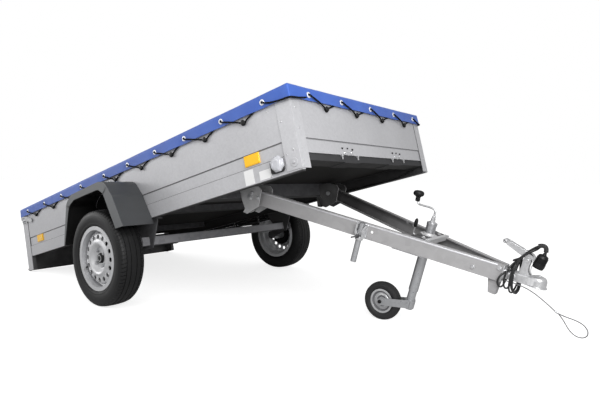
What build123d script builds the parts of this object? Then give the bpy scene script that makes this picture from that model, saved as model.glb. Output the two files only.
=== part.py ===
from build123d import *
import os
from math import atan, cos, degrees, radians, sin, sqrt, tan

# A single-axle utility trailer with a tipping bed, parked with its bed tipped back.
# All sizes are millimetres and degrees.
# Four frames are used:
#   bed frame  origin on the wheel axis, x forward, y left, z square to the floor;
#   bar frame  origin on the drawbar's pivot axis, x forward along the drawbar;
#   nose frame the bar frame moved to the front end of the drawbar's beams;
#   part frame x forward, y left, z up, on the ground under the middle of the whole trailer.

# ---- how it stands
BED_TILT = 14.13                # nose-up angle of the bed
BAR_SLOPE = 14.98               # nose-down angle of the drawbar

# ---- road wheels, 155/70 R13
TYRE_RADIUS = 273.5
TYRE_WIDTH = 155.0
BEAD_RADIUS = 165.0
RIM_LIP_RADIUS = 182.5
RIM_HALF = 66.0                 # half of the rim's width over its lips
RIM_SHEET = 4.0
TYRE_CLEAR = 40.5               # tyre off the corner posts' outer face
DISC_FACE = 30.0                # wheel disc's bolting face, outboard of the rim's middle
RIM_HOLES = 16
RIM_HOLE_RADIUS = 13.0
RIM_HOLE_CIRCLE = 121.0
HUB_RADIUS = 58.0
HUB_BORE_GAP = 0.3
STUB_RADIUS = 15.0

# ---- bed
BOX_FRONT = 1400.0              # wheel axis to the front of the corner posts
BOX_REAR = 1345.0               # wheel axis to the back of the rear posts
BOX_WIDTH = 1286.0
WALL = 22.0                     # side, front and tail walls, over their folds
POST_SHEET = 3.0                # the corner posts wrap the walls by this much
SKIRT_BOTTOM = 165.0            # lower edge of the side walls
FLOOR_UNDER = 240.0             # underside of the floor, and lower edge of the front wall
FLOOR_SHEET = 12.0
RAIL_TOP = 534.0
SWAGE_TOP = 303.0               # the pressed band of the walls
SWAGE_BOTTOM = 241.5
SWAGE_DEPTH = 3.0
FRONT_POST_SIDE = 85.0          # leg of the front post on the side wall
FRONT_POST_FACE = 63.0          # leg of the front post on the front wall
FRONT_POST_BOTTOM = 171.0
REAR_POST_LONG = 80.0
REAR_POST_WIDE = 28.0
REAR_POST_BOTTOM = 62.0
BUFFER_RADIUS = 13.0
BUFFER_ROUND = 12.0
BUFFER_STAND = 24.0             # how far the rubber buffers stand behind the posts

# ---- tailgate
GATE_GAP = 5.0
GATE_BOTTOM = 250.0
GATE_PIN_UP = 12.0              # pin above the tailgate's lower edge
GATE_PIN_RADIUS = 5.0
GATE_OPEN = 90.0

# ---- underframe
RAIL_DEPTH = 30.0               # chassis rail, across
RAIL_SHEET = 4.0
MEMBER_SHEET = 4.0
FRONT_MEMBER_LONG = 95.0
FRONT_MEMBER_BOTTOM = 207.0
PIVOT_MEMBER_LONG = 80.0
TAIL_MEMBER_PLACE = -760.0
SEAT_WIDTH = 135.0              # seats that the beams lie under on the road
SEAT_PLACE = 222.0
SEAT_THICK = 4.0
LAMP_BOARD_TOP = 236.0
LAMP_BOARD_FOLD = 20.0
PIN_GAP = 0.3                   # running clearance of pins and rods, on the radius

# ---- axle, trailing arms
AXLE_AHEAD = 170.0              # axle tube ahead of the wheel axis
AXLE_UP = 46.0
AXLE_SIZE = 50.0
ARM_THICK = 22.0
ARM_INSIDE = 111.0              # the arm's inner face inboard of the tyre's middle
AXLE_PLATE = 6.0
AXLE_PLATE_INSIDE = 50.0        # hanger plate inboard of the tube's end

# ---- mudguards
GUARD_COVER = 69.0              # mudguard's cheek outboard of the tyre's middle
GUARD_SHEET = 5.0
GUARD_SEAT = 0.3

# ---- tarpaulin
TARP_THICK = 6.0
TARP_SEAT = 0.5
TARP_DROP = 63.0                # its edges hang this far below its top
TARP_OUT = 3.5                  # its flaps' clearance off the posts
HOOK_DOWN = 86.0                # lacing hooks below the tarpaulin's top
SIDE_HOOKS = [1119, 847, 573, 292, 16, -259, -534, -810, -1091]
FRONT_HOOKS = [-381, -111, 159, 433]

# ---- lamps and reflectors
REFLECTOR_PLACES = [1122, -1091]
REFLECTOR_LONG = 94.0
REFLECTOR_HIGH = 50.0
REFLECTOR_UP = 277.0
REFLECTOR_THICK = 7.0
MARKER_X = 1280.0
MARKER_Z = 218.0
MARKER_BASE = 12.0
MARKER_LENS = 20.0
MARKER_RADIUS = 31.0
REAR_LAMP_LONG = 185.0
REAR_LAMP_EDGE = 15.0           # lamp off the rear post
TRIANGLE_GAP = 20.0             # triangle off the lamp and off the number plate
PLATE_LONG = 460.0
PLATE_HIGH = 110.0

# ---- drawbar
PIVOT_AHEAD = 852.5             # pivot ahead of the wheel axis
PIVOT_UP = 160.3
BEAM_HIGH = 75.0
BEAM_WIDE = 30.0
BEAM_SHEET = 4.0
BEAM_TAIL = 35.0                # beam behind the pivot
BEAM_LONG = 1207.0
BEAM_REAR_HALF = 383.0          # outer faces from the middle, at the pivot
BEAM_FRONT_HALF = 33.0          # and at the front end
PIVOT_PIN_RADIUS = 8.0
PIVOT_BUSH_WALL = 6.0
EAR_SHEET = 5.0
EAR_GAP = 5.0
EAR_TIP = 84.0                  # the ears reach this far ahead of the pivot
EAR_DROP = 85.0                 # and this far below it
EAR_SHOULDER = 14.0             # their tip is this far above it
EAR_BACK = 42.0                 # and their lowest point this far behind it
BEAM_HOLE_PLACE = 631.0
BEAM_HOLE_RADIUS = 7.0

# ---- jockey wheel
JOCKEY_PLACE = 832.0
JOCKEY_TUBE_RADIUS = 24.0
JOCKEY_TUBE_WALL = 3.0
JOCKEY_TUBE_TOP = 106.5
JOCKEY_TUBE_BOTTOM = -250.0
JOCKEY_INNER_GAP = 0.3
JOCKEY_INNER_TOP = 60.0
JOCKEY_FOOT = 26.0              # the inner tube's end above the wheel's axis
JOCKEY_GRIP_PLACE = 752.0
JOCKEY_PLATE_FRONT = 884.0
JOCKEY_PLATE_REAR = 800.0
JOCKEY_UNDER_REAR = 735.0
JOCKEY_PLATE_SHEET = 5.0
JOCKEY_TRAIL = 142.0
JOCKEY_WHEEL_RADIUS = 100.0
JOCKEY_WHEEL_WIDTH = 50.0
JOCKEY_RIM_RADIUS = 62.5
FORK_SHEET = 5.0
FORK_HIGH = 42.0
FORK_GAP = 5.0
JOCKEY_AXLE_RADIUS = 6.0
CRANK_ARM = 101.0
CRANK_UP = 66.5                 # crank's arm above the tube's top
KNOB_RADIUS = 26.0
JOCKEY_RAISE = 35.0
JOCKEY_LOWER = 200.0

# ---- coupling
HEAD_PLATE = 6.0
COUPLING_RISE = 4.0             # the coupling points up by this angle
COUPLING_HIGH = 40.0
COUPLING_WIDE = 46.0
COUPLING_WALL = 4.0
COUPLING_HEAD = 143.0           # ball centre ahead of the beams' front end
COUPLING_LOW = -18.0
COUPLING_HEAD_RADIUS = 34.0
SOCKET_RADIUS = 25.2
SOCKET_DEEP = 34.0
COUPLING_LIP = 5.0
HANDLE_PIN_RADIUS = 5.0
HANDLE_PIN_AHEAD = 84.0
HANDLE_PIN_UP = 60.0            # above the coupling's shank
FOOT_DROP = 67.0

# ---- prop leg
PROP_PLACE = 588.0
PROP_RADIUS = 14.0
PROP_TOP = 40.0
PROP_BOTTOM = -158.0
PROP_CLAMP_HIGH = 64.0
PROP_CLAMP_WALL = 5.0
PROP_CLAMP_HALF = 30.0
PROP_SCREW = 34.0
PROP_RAISE = 85.0
PROP_LOWER = 35.0

# ---- lead and steel cable
LEAD_DIAMETER = 8.0
STEEL_DIAMETER = 3.0
COIL_SIDE = [(3, -80), (86, -80), (54, 20), (46, 66), (22, 66)]    # the turns seen from the side
COIL_WIDE = 59.0
PLUG_RADIUS = 22.0

# ---- worked out
HALF = BOX_WIDTH / 2
WALL_OUT = HALF - POST_SHEET
WALL_IN = WALL_OUT - WALL
FRONT_OUT = BOX_FRONT - POST_SHEET
FRONT_IN = FRONT_OUT - WALL
REAR_POST_FRONT = REAR_POST_LONG - BOX_REAR
FLOOR_TOP = FLOOR_UNDER + FLOOR_SHEET
POST_IN = HALF - REAR_POST_WIDE
GATE_BACK = 2.0 - BOX_REAR
GATE_FRONT = GATE_BACK + WALL
GATE_PIN_X = (GATE_BACK + GATE_FRONT) / 2
GATE_PIN_Z = GATE_BOTTOM + GATE_PIN_UP
TARP_UNDER = RAIL_TOP + TARP_SEAT
TARP_TOP = TARP_UNDER + TARP_THICK
FLAP_IN = HALF + TARP_OUT
FLAP_FRONT = BOX_FRONT + TARP_OUT
TAPER = (BEAM_REAR_HALF - BEAM_FRONT_HALF) / BEAM_LONG
BEAM_ANGLE = degrees(atan(TAPER))
HALF_BEAM = BEAM_HIGH / 2
BEAM_ACROSS = BEAM_WIDE / cos(radians(BEAM_ANGLE))
TAIL_REACH = sqrt(BEAM_TAIL ** 2 + HALF_BEAM ** 2)
EAR_REACH = max(sqrt(EAR_TIP ** 2 + EAR_SHOULDER ** 2), sqrt(EAR_BACK ** 2 + EAR_DROP ** 2))
EAR_OUT = BEAM_REAR_HALF + TAIL_REACH * TAPER + EAR_GAP
EAR_IN = BEAM_REAR_HALF - BEAM_ACROSS - EAR_REACH * TAPER - EAR_GAP
PIVOT_MEMBER_FRONT = PIVOT_AHEAD - TAIL_REACH - EAR_GAP - EAR_SHEET - 3.0
WHEEL_PLACE = HALF + TYRE_CLEAR + TYRE_WIDTH / 2
AXLE_END = WHEEL_PLACE - ARM_INSIDE
AXLE_PLATE_PLACE = AXLE_END - AXLE_PLATE_INSIDE
GUARD_OUT = WHEEL_PLACE + GUARD_COVER
REAR_LAMP_IN = POST_IN - REAR_LAMP_EDGE - REAR_LAMP_LONG
TRIANGLE_HALF = (REAR_LAMP_IN - PLATE_LONG / 2) / 2 - TRIANGLE_GAP
TRIANGLE_PLACE = (REAR_LAMP_IN + PLATE_LONG / 2) / 2

# The jockey wheel's axis lies so that the wheel stands on the ground.
PIVOT_HIGH = TYRE_RADIUS + PIVOT_AHEAD * sin(radians(BED_TILT)) + PIVOT_UP * cos(radians(BED_TILT))
JOCKEY_DROP = PIVOT_HIGH - (JOCKEY_PLACE - JOCKEY_TRAIL) * sin(radians(BAR_SLOPE)) - JOCKEY_WHEEL_RADIUS
JOCKEY_AXLE_DOWN = -JOCKEY_DROP / cos(radians(BAR_SLOPE))
JOCKEY_INNER_BOTTOM = JOCKEY_AXLE_DOWN + JOCKEY_FOOT


# ---------------------------------------------------------------- small tools
def block(x0, x1, y0, y1, z0, z1):
    """A box between two corners."""
    middle = Pos((x0 + x1) / 2, (y0 + y1) / 2, (z0 + z1) / 2)
    return middle * Box(abs(x1 - x0), abs(y1 - y0), abs(z1 - z0))


def prism_x(outline, x0, x1):
    """An outline of (y, z) points, drawn out from x0 to x1."""
    face = make_face(Polyline(*[(x0, y, z) for y, z in outline], close=True))
    return extrude(face, amount=x1 - x0, dir=(1, 0, 0))


def prism_y(outline, y0, y1):
    """An outline of (x, z) points, drawn out from y0 to y1."""
    face = make_face(Polyline(*[(x, y0, z) for x, z in outline], close=True))
    return extrude(face, amount=y1 - y0, dir=(0, 1, 0))


def prism_z(outline, z0, z1):
    """An outline of (x, y) points, drawn out from z0 to z1."""
    face = make_face(Polyline(*[(x, y, z0) for x, y in outline], close=True))
    return extrude(face, amount=z1 - z0, dir=(0, 0, 1))


def rod(start, end, radius):
    """A round bar between two points."""
    start, end = Vector(*start), Vector(*end)
    return Solid.make_cylinder(radius, (end - start).length, Plane(origin=start, z_dir=end - start))


def tube(start, end, outer, inner):
    """A round tube between two points."""
    return rod(start, end, outer) - rod(start, end, inner)


def turned(outline):
    """An outline of (y, radius) points, turned about the y axis."""
    face = make_face(Polyline(*[(0, y, r) for y, r in outline], close=True))
    return revolve(face, axis=Axis.Y)


def mirrored(shape):
    """The same piece on the other side."""
    return mirror(shape, about=Plane.XZ)


def pair(shape):
    """A piece and its mirror image, as separate solids in one sub-part."""
    return Compound(children=[*shape.solids(), *mirrored(shape).solids()])


def group(shapes):
    """Separate solids in one sub-part."""
    return Compound(children=[solid for shape in shapes for solid in shape.solids()])


# ---------------------------------------------------------------- placing
BED_PLACE = Location((0, 0, TYRE_RADIUS), (0, -BED_TILT, 0))
PIVOT_GROUND = (BED_PLACE * Pos(PIVOT_AHEAD, 0, PIVOT_UP)).position
BAR_PLACE = Location(tuple(PIVOT_GROUND), (0, BAR_SLOPE, 0))
NOSE_PLACE = BAR_PLACE * Pos(BEAM_LONG, 0, 0)


def bed_point(x, y, z):
    """A bed-frame point, before the last shift of the whole trailer."""
    return (BED_PLACE * Pos(x, y, z)).position


def bar_point(x, y, z):
    """A bar-frame point, before the last shift of the whole trailer."""
    return (BAR_PLACE * Pos(x, y, z)).position


def nose_point(x, y, z):
    """A nose-frame point, before the last shift of the whole trailer."""
    return (NOSE_PLACE * Pos(x, y, z)).position


# ---------------------------------------------------------------- the box
def wall_outline(out, inside, bottom, top):
    """Section of a pressed wall: (across, z), with the recessed band on its outer side."""
    d = SWAGE_DEPTH
    return [(inside, bottom), (out, bottom), (out, SWAGE_BOTTOM), (out - d, SWAGE_BOTTOM + d),
            (out - d, SWAGE_TOP - d), (out, SWAGE_TOP), (out, top), (inside, top)]


def side_wall():
    """The left side wall, down to its skirt, from the front face to the rear post."""
    outline = wall_outline(WALL_OUT, WALL_IN, SKIRT_BOTTOM, RAIL_TOP)
    ends = 87.0 - POST_SHEET
    pressed = prism_x(outline, REAR_POST_FRONT, FRONT_OUT - ends)
    plain = block(FRONT_OUT - ends, FRONT_OUT, WALL_IN, WALL_OUT, SKIRT_BOTTOM, RAIL_TOP)
    return pressed + plain


def front_wall():
    """The front wall, between the side walls."""
    d = SWAGE_DEPTH
    body = block(FRONT_IN, FRONT_OUT, -WALL_IN, WALL_IN, FLOOR_UNDER, RAIL_TOP)
    reach = HALF - FRONT_POST_FACE
    outline = [(FRONT_OUT + 1, SWAGE_TOP + 1), (FRONT_OUT - d, SWAGE_TOP - d),
               (FRONT_OUT - d, SWAGE_BOTTOM + d), (FRONT_OUT + 1, SWAGE_BOTTOM - 1)]
    return body - prism_y(outline, -reach, reach)


def front_post():
    """The left front corner post, an angle of sheet round the corner."""
    side = block(BOX_FRONT - FRONT_POST_SIDE, BOX_FRONT, WALL_OUT, HALF, FRONT_POST_BOTTOM, RAIL_TOP)
    face = block(FRONT_OUT, BOX_FRONT, HALF - FRONT_POST_FACE, HALF, FRONT_POST_BOTTOM, RAIL_TOP)
    return side + face


def rear_post():
    """The left rear post, a box section down to the lamp board's foot, with the tailgate's pin hole."""
    body = block(-BOX_REAR, REAR_POST_FRONT, POST_IN, HALF, REAR_POST_BOTTOM, RAIL_TOP)
    s = POST_SHEET
    core = block(s - BOX_REAR, REAR_POST_FRONT - s, POST_IN + s, HALF - s, REAR_POST_BOTTOM, RAIL_TOP)
    hole = rod((GATE_PIN_X, POST_IN - 1, GATE_PIN_Z), (GATE_PIN_X, POST_IN + s + 1, GATE_PIN_Z),
               GATE_PIN_RADIUS + PIN_GAP)
    return body - core - hole


def floor_panel():
    """The floor, notched round the rear posts."""
    body = block(REAR_POST_FRONT, FRONT_IN, -WALL_IN, WALL_IN, FLOOR_UNDER, FLOOR_TOP)
    return body + block(GATE_FRONT + GATE_GAP, REAR_POST_FRONT, -POST_IN, POST_IN, FLOOR_UNDER, FLOOR_TOP)


def tailgate():
    """The tailgate, with a hinge pin at each lower corner."""
    d = SWAGE_DEPTH
    reach = POST_IN - GATE_GAP
    top = RAIL_TOP - GATE_GAP
    body = block(GATE_BACK, GATE_FRONT, -reach, reach, GATE_BOTTOM, top)
    outline = [(GATE_BACK - 1, SWAGE_TOP + 21), (GATE_BACK + d, SWAGE_TOP + 20 - d),
               (GATE_BACK + d, SWAGE_TOP - 20 + d), (GATE_BACK - 1, SWAGE_TOP - 21)]
    body -= prism_y(outline, -reach + 60, reach - 60)
    end = POST_IN + POST_SHEET + 3
    for side in (-1, 1):
        body += rod((GATE_PIN_X, side * (reach - 20), GATE_PIN_Z), (GATE_PIN_X, side * end, GATE_PIN_Z),
                    GATE_PIN_RADIUS)
    return body


def latch():
    """The left toggle latch at the top of the rear post."""
    x0 = 6 - BOX_REAR
    plate = block(x0, x0 + 46, HALF, HALF + 4, RAIL_TOP - 112, RAIL_TOP - 62)
    lever = block(x0 + 14, x0 + 32, HALF + 4, HALF + 12, RAIL_TOP - 104, RAIL_TOP - 66)
    return plate + lever


def buffer_knob():
    """The left rubber buffer: it stands behind the post's foot and rests on the ground."""
    x = -BOX_REAR - BUFFER_STAND + BUFFER_ROUND
    neck = BUFFER_RADIUS - BUFFER_ROUND
    lift = TYRE_RADIUS - BUFFER_ROUND + x * sin(radians(BED_TILT))
    z = neck - lift / cos(radians(BED_TILT))
    y = (POST_IN + HALF) / 2
    body = rod((-BOX_REAR, y, z), (-BOX_REAR - BUFFER_STAND, y, z), BUFFER_RADIUS)
    return fillet(body.edges().sort_by(Axis.X)[0], BUFFER_ROUND)


# ---------------------------------------------------------------- underframe
def side_rail():
    """The left chassis rail, a channel against the side wall's skirt, open inwards."""
    s = RAIL_SHEET
    inner = WALL_IN - RAIL_DEPTH
    outline = [(inner, SKIRT_BOTTOM), (WALL_IN, SKIRT_BOTTOM), (WALL_IN, FLOOR_UNDER), (inner, FLOOR_UNDER),
               (inner, FLOOR_UNDER - s), (WALL_IN - s, FLOOR_UNDER - s), (WALL_IN - s, SKIRT_BOTTOM + s),
               (inner, SKIRT_BOTTOM + s)]
    return prism_x(outline, REAR_POST_FRONT, FRONT_IN)


def hat_member(x0, x1, bottom, reach, sheet=MEMBER_SHEET):
    """A cross-member: a channel under the floor, open upwards."""
    outer = block(x0, x1, -reach, reach, bottom, FLOOR_UNDER)
    core = block(x0 + sheet, x1 - sheet, -reach, reach, bottom + sheet, FLOOR_UNDER)
    return outer - core


def front_member():
    """The front cross-member, with the two seats that the drawbar's beams lie under on the road."""
    x0, x1 = FRONT_OUT - FRONT_MEMBER_LONG, FRONT_OUT - 4
    body = hat_member(x0, x1, FRONT_MEMBER_BOTTOM, WALL_IN - RAIL_DEPTH)
    for side in (-1, 1):
        middle = side * SEAT_PLACE
        body += block(x0, x1, middle - SEAT_WIDTH / 2, middle + SEAT_WIDTH / 2,
                      FRONT_MEMBER_BOTTOM - SEAT_THICK, FRONT_MEMBER_BOTTOM)
    return body


def pivot_member():
    return hat_member(PIVOT_MEMBER_FRONT - PIVOT_MEMBER_LONG, PIVOT_MEMBER_FRONT, SKIRT_BOTTOM,
                      WALL_IN - RAIL_DEPTH)


def floor_members():
    """Two light cross-members, over the axle and near the tail."""
    reach = WALL_IN - RAIL_DEPTH
    places = [AXLE_AHEAD - 30, TAIL_MEMBER_PLACE]
    return group([hat_member(x, x + 60, FLOOR_UNDER - 40, reach) for x in places])


def pivot_bracket():
    """The left pivot bracket: two ears and a back plate, hung from the pivot cross-member."""
    x0 = PIVOT_MEMBER_FRONT
    tip = PIVOT_AHEAD + EAR_TIP
    low = PIVOT_UP - EAR_DROP
    ear = [(x0, FLOOR_UNDER - 12), (x0, SKIRT_BOTTOM), (x0 + 14, PIVOT_UP - 54), (x0 - 5, PIVOT_UP - 70),
           (PIVOT_AHEAD - EAR_BACK, low), (tip - 40, PIVOT_UP - 66), (tip, PIVOT_UP + EAR_SHOULDER),
           (tip - 12, PIVOT_UP + 38), (x0 + 60, FLOOR_UNDER - 12)]
    outer = prism_y(ear, EAR_OUT, EAR_OUT + EAR_SHEET)
    inner = prism_y(ear, EAR_IN - EAR_SHEET, EAR_IN)
    back = block(x0, x0 + EAR_SHEET, EAR_IN, EAR_OUT, SKIRT_BOTTOM, FLOOR_UNDER - 12)
    hole = rod((PIVOT_AHEAD, EAR_IN - 20, PIVOT_UP), (PIVOT_AHEAD, EAR_OUT + 20, PIVOT_UP), PIVOT_PIN_RADIUS)
    return outer + inner + back - hole


def pivot_pin():
    """The left pivot bolt, with its head and nut outside the ears."""
    head = 9.0
    y0, y1 = EAR_IN - EAR_SHEET, EAR_OUT + EAR_SHEET
    shank = rod((PIVOT_AHEAD, y0 - head, PIVOT_UP), (PIVOT_AHEAD, y1 + head, PIVOT_UP), PIVOT_PIN_RADIUS)
    for y, direction in ((y0, -1), (y1, 1)):
        shank += rod((PIVOT_AHEAD, y, PIVOT_UP), (PIVOT_AHEAD, y + direction * head, PIVOT_UP),
                     PIVOT_PIN_RADIUS * 1.6)
    return shank


def lamp_board():
    """The lamp board across the tail, a sheet with forward folds at top and bottom."""
    s = POST_SHEET
    x = -BOX_REAR
    outline = [(x, REAR_POST_BOTTOM), (x + LAMP_BOARD_FOLD, REAR_POST_BOTTOM),
               (x + LAMP_BOARD_FOLD, REAR_POST_BOTTOM + s), (x + s, REAR_POST_BOTTOM + s),
               (x + s, LAMP_BOARD_TOP - s), (x + LAMP_BOARD_FOLD, LAMP_BOARD_TOP - s),
               (x + LAMP_BOARD_FOLD, LAMP_BOARD_TOP), (x, LAMP_BOARD_TOP)]
    return prism_y(outline, -POST_IN, POST_IN)


def rear_lamp():
    """The left tail lamp, a rounded block on the board."""
    body = block(-BOX_REAR - 34, -BOX_REAR, REAR_LAMP_IN, REAR_LAMP_IN + REAR_LAMP_LONG, 108, 206)
    return fillet(body.faces().sort_by(Axis.X)[0].edges(), 8)


def rear_triangle():
    """The left triangular reflector."""
    half, low = TRIANGLE_HALF, 95.0
    middle = TRIANGLE_PLACE
    outline = [(middle - half, low), (middle + half, low), (middle, low + half * sqrt(3))]
    return prism_x(outline, -BOX_REAR - 9, -BOX_REAR)


def number_plate():
    return block(-BOX_REAR - 4, -BOX_REAR, -PLATE_LONG / 2, PLATE_LONG / 2, 90, 90 + PLATE_HIGH)


# ---------------------------------------------------------------- axle
def axle_beam():
    body = block(AXLE_AHEAD - AXLE_SIZE / 2, AXLE_AHEAD + AXLE_SIZE / 2, -AXLE_END, AXLE_END,
                 AXLE_UP - AXLE_SIZE / 2, AXLE_UP + AXLE_SIZE / 2)
    return fillet(body.edges().filter_by(Axis.Y), 5)


def axle_bracket():
    """The left plate that hangs the axle tube from the chassis rail, with its bolting fold."""
    low = AXLE_UP - AXLE_SIZE / 2 - 18
    outline = [(AXLE_AHEAD - 115, SKIRT_BOTTOM), (AXLE_AHEAD + 125, SKIRT_BOTTOM), (AXLE_AHEAD + 125, 145),
               (AXLE_AHEAD + 42, low), (AXLE_AHEAD - 42, low), (AXLE_AHEAD - 115, 145)]
    plate = prism_y(outline, AXLE_PLATE_PLACE - AXLE_PLATE, AXLE_PLATE_PLACE)
    fold = block(AXLE_AHEAD - 115, AXLE_AHEAD + 125, WALL_IN - RAIL_DEPTH - 25, AXLE_PLATE_PLACE,
                 SKIRT_BOTTOM - AXLE_PLATE, SKIRT_BOTTOM)
    return plate + fold - axle_beam()


def swing_arm():
    """The left trailing arm with its stub axle."""
    y0, y1 = AXLE_END, AXLE_END + ARM_THICK
    arm = rod((AXLE_AHEAD, y0, AXLE_UP), (AXLE_AHEAD, y1, AXLE_UP), 34) + rod((0, y0, 0), (0, y1, 0), 30)
    up = 26.0
    web = prism_y([(AXLE_AHEAD, AXLE_UP + up), (0, up), (0, -up), (AXLE_AHEAD, AXLE_UP - up)], y0, y1)
    stub = rod((0, y1, 0), (0, WHEEL_PLACE + DISC_FACE - 16, 0), STUB_RADIUS)
    return arm + web + stub


# ---------------------------------------------------------------- road wheels (about their own centre)
def tyre(radius, half, bead, seat_half, lip):
    """A tyre from its crown, shoulder and sidewall arcs, about the y axis."""
    tread, crown_drop, shoulder = 0.75 * half, 4.5, 0.915 * half
    depth = radius - lip
    right = [
        ThreePointArc((0, 0, radius), (0, tread / 2, radius - crown_drop / 4), (0, tread, radius - crown_drop)),
        ThreePointArc((0, tread, radius - crown_drop), (0, 0.865 * half, radius - 0.11 * depth),
                      (0, shoulder, radius - 0.24 * depth)),
        ThreePointArc((0, shoulder, radius - 0.24 * depth), (0, half, radius - 0.58 * depth),
                      (0, seat_half, lip + 1.5)),
        Line((0, seat_half, lip + 1.5), (0, seat_half, bead)),
    ]
    left = [mirrored(edge) for edge in right]
    base = Line((0, -seat_half, bead), (0, seat_half, bead))
    return revolve(make_face([*right, *left, base]), axis=Axis.Y)


def road_tyre():
    return tyre(TYRE_RADIUS, TYRE_WIDTH / 2, BEAD_RADIUS + 0.3, RIM_HALF - RIM_SHEET - 1, RIM_LIP_RADIUS)


def road_rim():
    """A pressed steel wheel: barrel with lips and drop centre, and a domed disc with round holes."""
    s, h, b = RIM_SHEET, RIM_HALF, BEAD_RADIUS
    well = b - 15
    outside = [(-h, RIM_LIP_RADIUS), (s - h, RIM_LIP_RADIUS), (s - h, b), (-30, b), (-22, well), (12, well),
               (20, b), (h - s, b), (h - s, RIM_LIP_RADIUS), (h, RIM_LIP_RADIUS)]
    inside = [(h, b - s), (20 + s / 2, b - s), (12 + s / 2, well - s), (-22 - s / 2, well - s),
              (-30 - s / 2, b - s), (-h, b - s)]
    barrel = turned(outside + inside)
    shown = [(22, 147.2), (34, 146.5), (43, 142), (48.5, 134), (51, 121), (51, 107), (55, 99), (59.5, 92.5), (60, 86),
             (56, 78), (42, 66), (DISC_FACE + 6, 60), (DISC_FACE + 5, 56), (DISC_FACE + 5, 30)]
    back = [(DISC_FACE, 30), (DISC_FACE, 57), (31.5, 62), (37.5, 69), (51, 80), (54.5, 87), (54, 91), (50.5, 96),
            (46, 104), (46, 122), (43.5, 131), (39, 137.5), (32, 141.5), (8, 142.2), (8, 147.2)]
    disc = turned(shown + back)
    for turn in range(RIM_HOLES):
        angle = 360 / RIM_HOLES * (turn + 0.5)
        drill = rod((0, 0, RIM_HOLE_CIRCLE), (0, 2 * h, RIM_HOLE_CIRCLE), RIM_HOLE_RADIUS)
        disc -= Rot(0, angle, 0) * drill
    return barrel + disc


def road_hub():
    """The unbraked hub with its four bolts and grease cap, bored for the stub axle."""
    face = DISC_FACE
    body = turned([(-46, STUB_RADIUS + HUB_BORE_GAP), (-46, 38), (face - 12, 38), (face - 12, HUB_RADIUS),
                   (face - 0.3, HUB_RADIUS), (face - 0.3, 28), (face + 12, 27), (face + 17, 21), (face + 17, 0),
                   (face - 10, 0), (face - 10, STUB_RADIUS + HUB_BORE_GAP)])
    return body


def wheel_at(shape, side):
    """A wheel piece at its place: side 1 is left, -1 is right, its disc facing out."""
    piece = shape if side > 0 else mirrored(shape)
    return Pos(0, side * WHEEL_PLACE, 0) * piece


# ---------------------------------------------------------------- mudguards
GUARD_TOP = [(-346, 126), (-250, 368), (-182, 407), (137, 411), (201, 393), (256, 305), (321, 128)]
GUARD_MOUTH = [(-333, 124), (-222, 343), (-153, 368), (124, 368), (168, 336), (246, 124)]


def rounded(shape, above, radius):
    """Rounds the crosswise edges of a shape that lie above a height."""
    return fillet([edge for edge in shape.edges().filter_by(Axis.Y) if edge.center().Z > above], radius)


def mudguard():
    """The left mudguard: a bent top skin with an outer cheek."""
    y0 = WALL_OUT + GUARD_SEAT
    s = GUARD_SHEET
    solid = rounded(prism_y(GUARD_TOP, y0, GUARD_OUT), 150, 70)
    inner = [(-346 + 1.1 * s, 120), (-250 + 0.9 * s, 368 - 0.5 * s), (-182 + 0.3 * s, 407 - s),
             (137 - 0.2 * s, 411 - s), (201 - 0.8 * s, 393 - 0.8 * s), (256 - s, 305 - 0.4 * s),
             (321 - 1.1 * s, 120)]
    hollow = rounded(prism_y(inner, y0 - 1, GUARD_OUT - s), 150, 70 - s)
    mouth = rounded(prism_y(GUARD_MOUTH + [(246, 100), (-333, 100)], GUARD_OUT - 2 * s, GUARD_OUT + 1), 150, 60)
    return solid - hollow - mouth


def guard_stay():
    """The left stay from the side wall's skirt to the mudguard's front foot."""
    return block(258, 292, WALL_OUT, WALL_OUT + 60, 172, 178) + block(250, 284, WALL_OUT, WALL_OUT + 4, 166, 200)


# ---------------------------------------------------------------- tarpaulin and trim
def tarpaulin():
    """The flat cover, with flaps down the front and both sides."""
    out, front = FLAP_IN + TARP_THICK, FLAP_FRONT + TARP_THICK
    rear = -BOX_REAR - 2
    body = block(rear, front, -out, out, TARP_TOP - TARP_DROP, TARP_TOP)
    return body - block(rear - 1, FLAP_FRONT, -FLAP_IN, FLAP_IN, TARP_TOP - TARP_DROP - 1, TARP_UNDER)


def hook():
    """A lacing hook on the left side wall, at x = 0: a plate with a downward peg."""
    z = TARP_TOP - HOOK_DOWN
    return block(-9, 9, WALL_OUT, WALL_OUT + 5, z - 12, z + 12) + block(-4, 4, WALL_OUT + 4, WALL_OUT + 14,
                                                                      z - 5, z + 3)


def tarp_hooks():
    one = hook()
    sides = [Pos(x, 0, 0) * one for x in SIDE_HOOKS]
    front = [Pos(FRONT_OUT - WALL_OUT, y, 0) * (Rot(0, 0, -90) * one) for y in FRONT_HOOKS]
    return group(sides + [mirrored(piece) for piece in sides] + front)


def side_reflectors():
    """Amber reflectors near both ends of each side."""
    long, high, z = REFLECTOR_LONG / 2, REFLECTOR_HIGH / 2, REFLECTOR_UP
    pieces = [block(x - long, x + long, WALL_OUT, WALL_OUT + REFLECTOR_THICK, z - high, z + high)
              for x in REFLECTOR_PLACES]
    return group(pieces + [mirrored(piece) for piece in pieces])


def marker_base():
    """The left marker lamp's base, on the side wall behind the corner post."""
    return block(MARKER_X - 38, MARKER_X + 34, WALL_OUT, WALL_OUT + MARKER_BASE, MARKER_Z - 27, MARKER_Z + 25)


def marker_lens():
    """The left marker lamp's lens, an eight-sided prism."""
    plane = Plane.XZ.offset(-(WALL_OUT + MARKER_BASE)) * Pos(MARKER_X, MARKER_Z)
    return extrude(plane * RegularPolygon(MARKER_RADIUS, 8, rotation=22.5), amount=-MARKER_LENS)


# ---------------------------------------------------------------- drawbar (bar frame)
def beam_line(x):
    """Outer face of the left beam."""
    return BEAM_REAR_HALF - TAPER * x


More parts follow.
